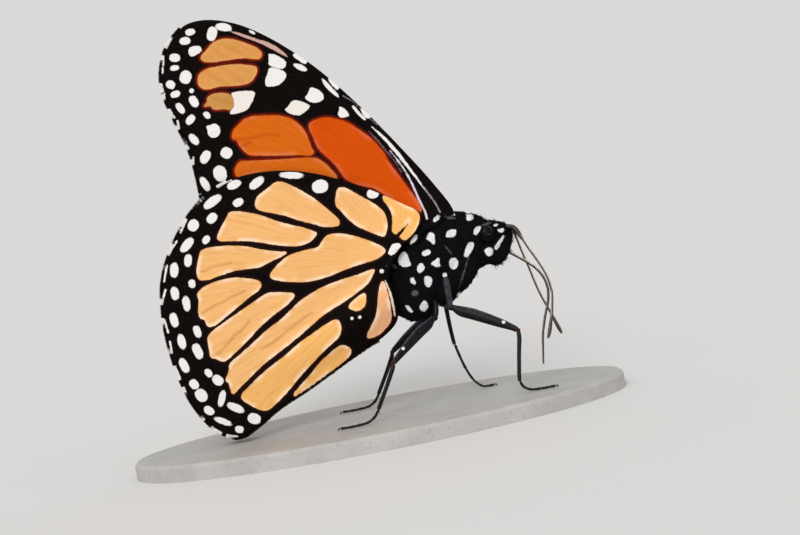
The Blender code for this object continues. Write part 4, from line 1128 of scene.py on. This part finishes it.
def makeEyes():
    made, tree, shader = newMaterial("eyeGlass", Roughness=0.34, Specular_IOR_Level=0.07)
    where, glint = objectPlace(tree), field(tree, "glint")
    facets = scaleCells(tree, where, 14000.0, "DISTANCE_TO_EDGE", 0.25)
    colour = mix(tree, between(tree, noise(tree, where, 1500.0, 3.0, 0.6), 0.4, 0.7), *eyes["dark"])
    # a painted reflection: a soft broken ring round the brightest place
    ring = times(tree, between(tree, glint, 0.66, 0.98), between(tree, glint, 1.34, 1.02))
    ring = times(tree, ring, between(tree, noise(tree, where, 1400.0, 2.0, 0.6), 0.36, 0.62))
    paint(tree, shader, mix(tree, times(tree, ring, 0.5), colour, eyes["ring"]))
    bump(tree, shader, between(tree, facets, 0.0, 0.12), 0.006, 0.5)
    cx, cy, cz = eyes["centre"]
    points = []
    for t in (np.linspace(0.02, 1.0, eyes["rows"]) * math.radians(100))[::-1]:
        reach = math.sin(t) ** (0.92 if t < math.pi / 2 else 1)
        for a in np.linspace(0, 2 * math.pi, eyes["sides"], endpoint=False):
            points.append((cx + eyes["radius"] * reach * math.cos(a) * 0.98, -cy - eyes["deep"] * math.cos(t),
                           cz + eyes["radius"] * reach * math.sin(a) * 1.03))
    points += [(cx, -cy + 0.3, cz), (cx, -cy - eyes["deep"], cz)]
    shape = closedRings(np.array(points), eyes["rows"], eyes["sides"])
    gx, gz, size = eyes["glint"]
    fields = dict(glint=np.hypot(shape[0][:, 0] - gx, shape[0][:, 2] - gz) / size)
    for (at, faces), sideName in ((shape, "right"), (flipped(shape), "left")):
        name = f"eye_{sideName}_dome"
        addPiece(name, makeMesh(name, at, faces, fields), made, [f"eye_{sideName}"])
    print("eyes made")


makeEyes()


horns = dict(
    proboscis=[(24.6, 0, 23.6, 0.26), (25.4, 0, 23.1, 0.25), (27.7, 0, 21.2, 0.24), (29.2, 0.1, 19.5, 0.23),
        (30, 0.1, 17.4, 0.22), (29.8, 0.1, 15, 0.21), (28.8, 0, 12.4, 0.2), (28, -0.1, 9.9, 0.19),
        (27.6, -0.2, 7.7, 0.17), (27.2, -0.3, 5.4, 0.14)],
    antennaRight=[(25.4, -0.7, 27.2, 0.3), (26.4, -0.85, 26.95, 0.34), (26.95, -1.05, 26.2, 0.42),
        (27.4, -1.2, 25.2, 0.3), (27.7, -1.3, 24.5, 0.19), (28.2, -1.4, 23.3, 0.18), (29.3, -1.6, 20.9, 0.18),
        (30.1, -1.8, 18.7, 0.18), (30.4, -1.9, 16.3, 0.19), (30, -2.1, 13.9, 0.2), (29.4, -2.27, 11.8, 0.27),
        (28.9, -2.35, 10.3, 0.31), (28.5, -2.4, 9.35, 0.18)],
    antennaLeft=[(25.4, 0.7, 27.2, 0.33), (26.3, 0.85, 26.85, 0.26), (26.8, 1.25, 25.3, 0.19),
        (27.3, 1.7, 22.9, 0.18), (27.9, 1.9, 20.3, 0.18), (28.5, 2.2, 17.4, 0.18), (29.1, 2.4, 15.2, 0.19),
        (29.8, 2.6, 13.2, 0.2), (30.35, 2.76, 11.4, 0.27), (30.8, 2.85, 10, 0.31), (31.1, 2.9, 9.1, 0.18)],
    rings=46, ringDepth=0.12, tongueRings=90, tongueDepth=0.07,
    # lit is the colour of the painted highlight along the upper side
    dark=((18, 14, 13), (42, 34, 30)), lit=((166, 148, 128), (232, 218, 198)),
)


def hornMaterial():
    made, tree, shader = newMaterial("hornShell", Roughness=0.34, Specular_IOR_Level=0.5, Coat_Weight=0.25)
    where = objectPlace(tree)
    mottled = noise(tree, where, 2600.0, 3.0, 0.6)
    dark = mix(tree, between(tree, mottled, 0.35, 0.7), *horns["dark"])
    lit = mix(tree, between(tree, mottled, 0.3, 0.7), *horns["lit"])
    # a painted highlight along the upper side, as strong as each point's field says
    pale = times(tree, between(tree, field(tree, "top"), -0.1, 0.5), field(tree, "paintedHighlight"))
    paint(tree, shader, mix(tree, pale, dark, lit))
    bump(tree, shader, noise(tree, where, 9000.0, 2.0), 0.02, 0.5)
    return made


def makeHorns():
    made = hornMaterial()
    # s runs from 0 at the root to 1 at the tip
    wave = lambda s, rings: 0.5 + 0.5 * np.cos(s * rings * 2 * math.pi)
    ringed = lambda s: 1 - horns["ringDepth"] * wave(s, horns["rings"]) ** 3
    for key, replaced in (("antennaRight", "antenna_right"), ("antennaLeft", "antenna_left")):
        points, faces, fields = tube(horns[key], 40, 14, shape=ringed)
        # the upper side carries a painted highlight, but the thick joints at the root and the club at the tip are dark
        s, name = fields.pop("along"), replaced + "_ringed"
        fields["paintedHighlight"] = 0.62 * ramp(s, 0.12, 0.19) * (1 - 0.8 * ramp(s, 0.78, 0.9))
        addPiece(name, makeMesh(name, points, faces, fields), made, [replaced])
    # the tongue is two half tubes side by side, with a groove between and fine rings
    fine = lambda s: 1 - horns["tongueDepth"] * wave(s, horns["tongueRings"]) ** 2
    halves = [[(x, y + sign * r * 0.42, z, r * 0.62, r) for x, y, z, r in horns["proboscis"]] for sign in (-1, 1)]
    points, faces, fields = joined([tube(rows, 60, 12, shape=fine) for rows in halves])
    # the painted highlight on the tongue's upper side is strong near its root and fainter further out
    fields["paintedHighlight"] = 1 - 0.75 * ramp(fields.pop("along"), 0.28, 0.5)
    addPiece("proboscis_tube", makeMesh("proboscis_tube", points, faces, fields), made, ["proboscis"])
    print("tongue and feelers made")


makeHorns()


# (x, y, z, half width, half height) or (x, y, z, radius). coxa is the hip, floorTop the top of the base.
legs = dict(
    midRight=dict(
        seed=61,
        femur=[(14.9, -3, 17, 0.3, 0.34), (15.5, -3.1, 16.55, 0.44, 0.54), (16.4, -3.3, 15.95, 0.6, 0.8),
            (18.3, -3.85, 15.1, 0.66, 0.86), (21.35, -4.6, 13.45, 0.58, 0.72), (23.25, -5.05, 12.35, 0.42, 0.5),
            (24.1, -5.3, 11.75, 0.36, 0.42)],
        tibia=[(24.1, -5.3, 11.8, 0.3), (24.05, -5.5, 10.6, 0.34), (23.5, -6.1, 8.1, 0.31), (22.9, -6.75, 5, 0.3),
            (22.85, -6.95, 4.3, 0.27)],
        tarsus=[(22.85, -6.95, 4.3, 0.24), (23.3, -7.15, 3.4, 0.22), (24.3, -7.35, 2.86, 0.21),
            (25.6, -7.5, 2.76, 0.2), (26.8, -7.6, 2.74, 0.19), (27.9, -7.72, 2.78, 0.2)]),
    midLeft=dict(
        seed=56, across=(1, 0, 0),
        femur=[(14.85, 2.95, 16.75, 0.34, 0.32), (14.75, 3.6, 16.75, 0.58, 0.5), (14.6, 4.4, 16.8, 0.8, 0.62),
            (14.4, 6.4, 17.05, 0.86, 0.62), (14.3, 9, 17.1, 0.7, 0.52), (14.35, 11.2, 16.75, 0.42, 0.4)],
        tibia=[(14.35, 11.3, 16.7, 0.34), (14.45, 11.2, 15.6, 0.36), (14.45, 10.4, 13.3, 0.33),
            (14.55, 9.15, 10.6, 0.3), (14.65, 8.9, 9.9, 0.27)],
        tarsus=[(14.65, 8.9, 9.9, 0.24), (15.1, 8.5, 7.9, 0.23), (15.65, 8.15, 5.9, 0.22), (16.5, 7.85, 4, 0.2),
            (17.6, 7.55, 2.9, 0.19), (18.5, 7.4, 2.74, 0.19), (19.5, 7.25, 2.78, 0.2)]),
    hindRight=dict(
        seed=66,
        femur=[(12.2, -2.8, 15.9, 0.3, 0.32), (11.6, -3.2, 15.4, 0.44, 0.52), (10.9, -3.6, 14.9, 0.6, 0.75),
            (9.6, -4.7, 14.25, 0.64, 0.82), (7.4, -6.5, 12.75, 0.56, 0.68), (5.6, -7.8, 11.4, 0.42, 0.48),
            (4.8, -8.2, 10.75, 0.36, 0.4)],
        tibia=[(4.8, -8.2, 10.8, 0.3), (4.5, -8.35, 9.9, 0.34), (3.2, -8.6, 7.6, 0.31), (1.7, -8.9, 5.1, 0.3),
            (1.3, -8.95, 4.4, 0.27)],
        tarsus=[(1.3, -8.95, 4.4, 0.24), (0.6, -9.05, 3.5, 0.22), (-0.5, -9.12, 2.9, 0.21), (-1.9, -9.2, 2.76, 0.2),
            (-3.3, -9.25, 2.74, 0.19), (-4.7, -9.3, 2.78, 0.2)]),
    coxaMid=[(14.9, 2.5, 21.5, 0.4, 0.4), (14.95, 3, 20.7, 0.46, 0.52), (14.9, 3.2, 19.4, 0.46, 0.52),
        (14.85, 3.2, 17.8, 0.42, 0.44), (14.85, 3, 16.45, 0.42, 0.44)],
    coxaHind=[(12.6, 1.6, 19, 0.34, 0.3), (12.7, 2.2, 17.8, 0.46, 0.42), (12.6, 2.6, 16.7, 0.46, 0.42),
        (12.3, 2.7, 15.8, 0.42, 0.4)],
    hipJoint=-0.2, dotAt=0.72, floorTop=2.5, footJoints=5, spines=26, spine=(0.32, 0.035), spur=(0.75, 0.06),
    # after the dark colours come those of the painted highlight along the legs' upper side
    dark=((6, 6, 8), (20, 21, 26)), bloom=((44, 48, 56), (84, 90, 100)), knee=(62, 22, 18), dot=(225, 226, 228),
)


def shellMaterial():
    made, tree, shader = newMaterial("legShell", Roughness=0.42, Specular_IOR_Level=0.16, Coat_Weight=0.03,
                                     Coat_Roughness=0.2)
    where = objectPlace(tree)
    mottled = noise(tree, where, 1800.0, 4.0, 0.65)
    dark = mix(tree, between(tree, mottled, 0.35, 0.7), *legs["dark"])
    bloom = mix(tree, between(tree, mottled, 0.3, 0.65), *legs["bloom"])
    # a painted highlight along the upper side, strongest on the thigh
    colour = mix(tree, times(tree, between(tree, field(tree, "top"), 0.5, 0.98), field(tree, "bloom")), dark, bloom)
    colour = mix(tree, times(tree, field(tree, "knee"), 0.75), colour, legs["knee"])
    paint(tree, shader, mix(tree, between(tree, field(tree, "dot"), 0.3, 0.24), colour, legs["dot"]))
    bump(tree, shader, scaleCells(tree, where, 9000.0), 0.02, 0.5)
    return made


def spikes(roots, ways, long, wide):
    # small cones of four sides
    parts = []
    quarters = (0, 1.571, 3.142, 4.712)
    for root, way in zip(roots, ways):
        way = unit(way)
        a = unit(np.cross(way, (0.3, 0.5, 0.81)))
        b = np.cross(way, a)
        ring = [wide * (math.cos(t) * a + math.sin(t) * b) for t in quarters]
        points = [root + r for r in ring] + [root + way * long * 0.55 + 0.6 * r for r in ring] + [root + way * long]
        faces = [(k, (k + 1) % 4, 4 + (k + 1) % 4, 4 + k) for k in range(4)]
        faces += [(4 + k, 4 + (k + 1) % 4, 8) for k in range(4)] + [(3, 2, 1, 0)]
        parts.append((np.array(points), faces, dict(top=np.zeros(9), along=np.zeros(9))))
    return parts


def upright(middle, rows, steps, sides):
    # a small knob from rows of (height above the middle, radius)
    return tube([(*(middle + [0, 0, d]), r) for d, r in rows], steps, sides)


def legSpines(spec, rng):
    # spines along the shin and foot, and two spurs at the shin's end
    parts = []
    for rows, size in ((spec["tibia"], 1.0), (spec["tarsus"], 0.6)):
        line = evenly(smoothPath(rows, 8), 0.2)
        pick = rng.integers(2, len(line) - 2, legs["spines"])
        ahead = unit(line[pick + 1, :3] - line[pick - 1, :3])
        out = rng.normal(0, 1, (len(pick), 3))
        out = unit(out - (out * ahead).sum(1)[:, None] * ahead)
        root = line[pick, :3] + out * line[pick, 3:4] * 0.85
        clear = root[:, 2] > legs["floorTop"] + 0.25
        parts += spikes(root[clear], (out * 0.55 + ahead)[clear], legs["spine"][0] * size, legs["spine"][1])
    before, end = np.array(spec["tibia"])[-2:, :3]
    ahead = unit(end - before)
    return parts + spikes([end + [0.1, s * 0.15, 0] for s in (1, -1)], [ahead + [0.5, s * 0.3, 0] for s in (1, -1)],
                          *legs["spur"])


def legClaws(spec):
    # two claws, their points on the base
    before, tip = np.array(spec["tarsus"])[-2:, :3]
    toward = unit((tip - before) * [1, 1, 0])
    beside = np.array([-toward[1], toward[0], 0])
    parts = []
    for sign in (-1, 1):
        out = toward * 0.8 + beside * sign * 0.5
        parts.append(tube([(*(tip + out * 0.05), 0.1), (*(tip + out * 0.28 + [0, 0, 0.03]), 0.085),
                           (*(tip + out * 0.48 + [0, 0, -0.08]), 0.06),
                           (*(tip + out * 0.55)[:2], legs["floorTop"] + 0.03, 0.025)], 5, 8))
    return parts


def legShape(spec):
    rng = np.random.default_rng(spec["seed"])
    femur = tube(spec["femur"], 40, 36, spec.get("across", (0, 1, 0)))
    tibia = tube(spec["tibia"], 12, 16)
    # the foot is five short joints, each a little thicker at its far end
    tarsus = tube(spec["tarsus"], 14, 12, shape=lambda s: 0.84 + 0.24 * ((s * legs["footJoints"]) % 1.0) ** 2)
    hip, knee = [np.array(spec["femur"][k][:3]) for k in (0, -1)]
    parts = [femur, tibia, tarsus, upright(knee, ((0.3, 0.2), (0.12, 0.36), (-0.12, 0.36), (-0.3, 0.2)), 3, 12)]
    # the small joint that the thigh hangs on
    parts.append(upright(hip + [0, 0, legs["hipJoint"]], ((0.45, 0.4), (0, 0.5), (-0.45, 0.4)), 8, 20))
    points, faces, fields = joined(parts + legSpines(spec, rng) + legClaws(spec))
    points[:, 2] = np.maximum(points[:, 2], legs["floorTop"])
    # how much painted highlight each part takes: most on the thigh, some on the shin
    bloom = np.zeros(len(points))
    bloom[:len(femur[0]) + len(tibia[0])] = 0.35
    bloom[:len(femur[0])] = 0.85
    # a white dot on the thigh and a reddish joint at the knee
    seat = smoothPath(spec["femur"], 8)
    seat = seat[int(len(seat) * legs["dotAt"])]
    fromDot = points - (seat[:3] + [0, -seat[3] * 0.75, seat[3] * 0.7])
    return points, faces, dict(top=fields["top"], bloom=bloom, dot=np.linalg.norm(fromDot, axis=1),
                               knee=ramp(np.linalg.norm(points - knee, axis=1), 0.8, 0.4))


def makeLegs():
    made = shellMaterial()
    hind = legShape(legs["hindRight"])
    for name, shape in (("midleg_right", legShape(legs["midRight"])), ("midleg_left", legShape(legs["midLeft"])),
                        ("hindleg_right", hind), ("hindleg_left", flipped(hind))):
        addPiece(name + "_jointed", makeMesh(name + "_jointed", *shape), made,
                 [f"{name}_{part}" for part in ("femur", "tibia", "tarsus")])
    hips = []
    for key in ("coxaMid", "coxaHind"):
        hip = tube(legs[key], 12, 20)
        hips += [hip, flipped(hip)]
    points, faces, fields = joined(hips)
    # the middle hips take more of the painted highlight than the hind ones
    middle, none = points[:, 0] > 13.6, np.zeros(len(points))
    fields = dict(top=np.where(middle, 0.75, 0.3), bloom=np.where(middle, 0.8, 0.1), knee=none, dot=none + farOff)
    addPiece("hips", makeMesh("hips", points, faces, fields), made)
    print("legs made")


makeLegs()


base = dict(stone=((172, 170, 166), (186, 184, 180)), speck=(140, 137, 132))


def finishBase():
    # the base keeps its own shape and takes a matt, finely speckled finish
    made, tree, shader = newMaterial("baseStone", Roughness=0.55, Specular_IOR_Level=0.35)
    where = objectPlace(tree)
    speck = noise(tree, where, 2400.0, 2.0, 0.7)
    colour = mix(tree, between(tree, noise(tree, where, 160.0, 4.0, 0.6), 0.3, 0.7), *base["stone"])
    paint(tree, shader, mix(tree, between(tree, speck, 0.62, 0.72), colour, base["speck"]))
    bump(tree, shader, speck, 0.02, 0.4)
    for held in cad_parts["stand_base"].material_slots:
        held.link = "OBJECT"
        held.material = made
    print("base finished")


finishBase()
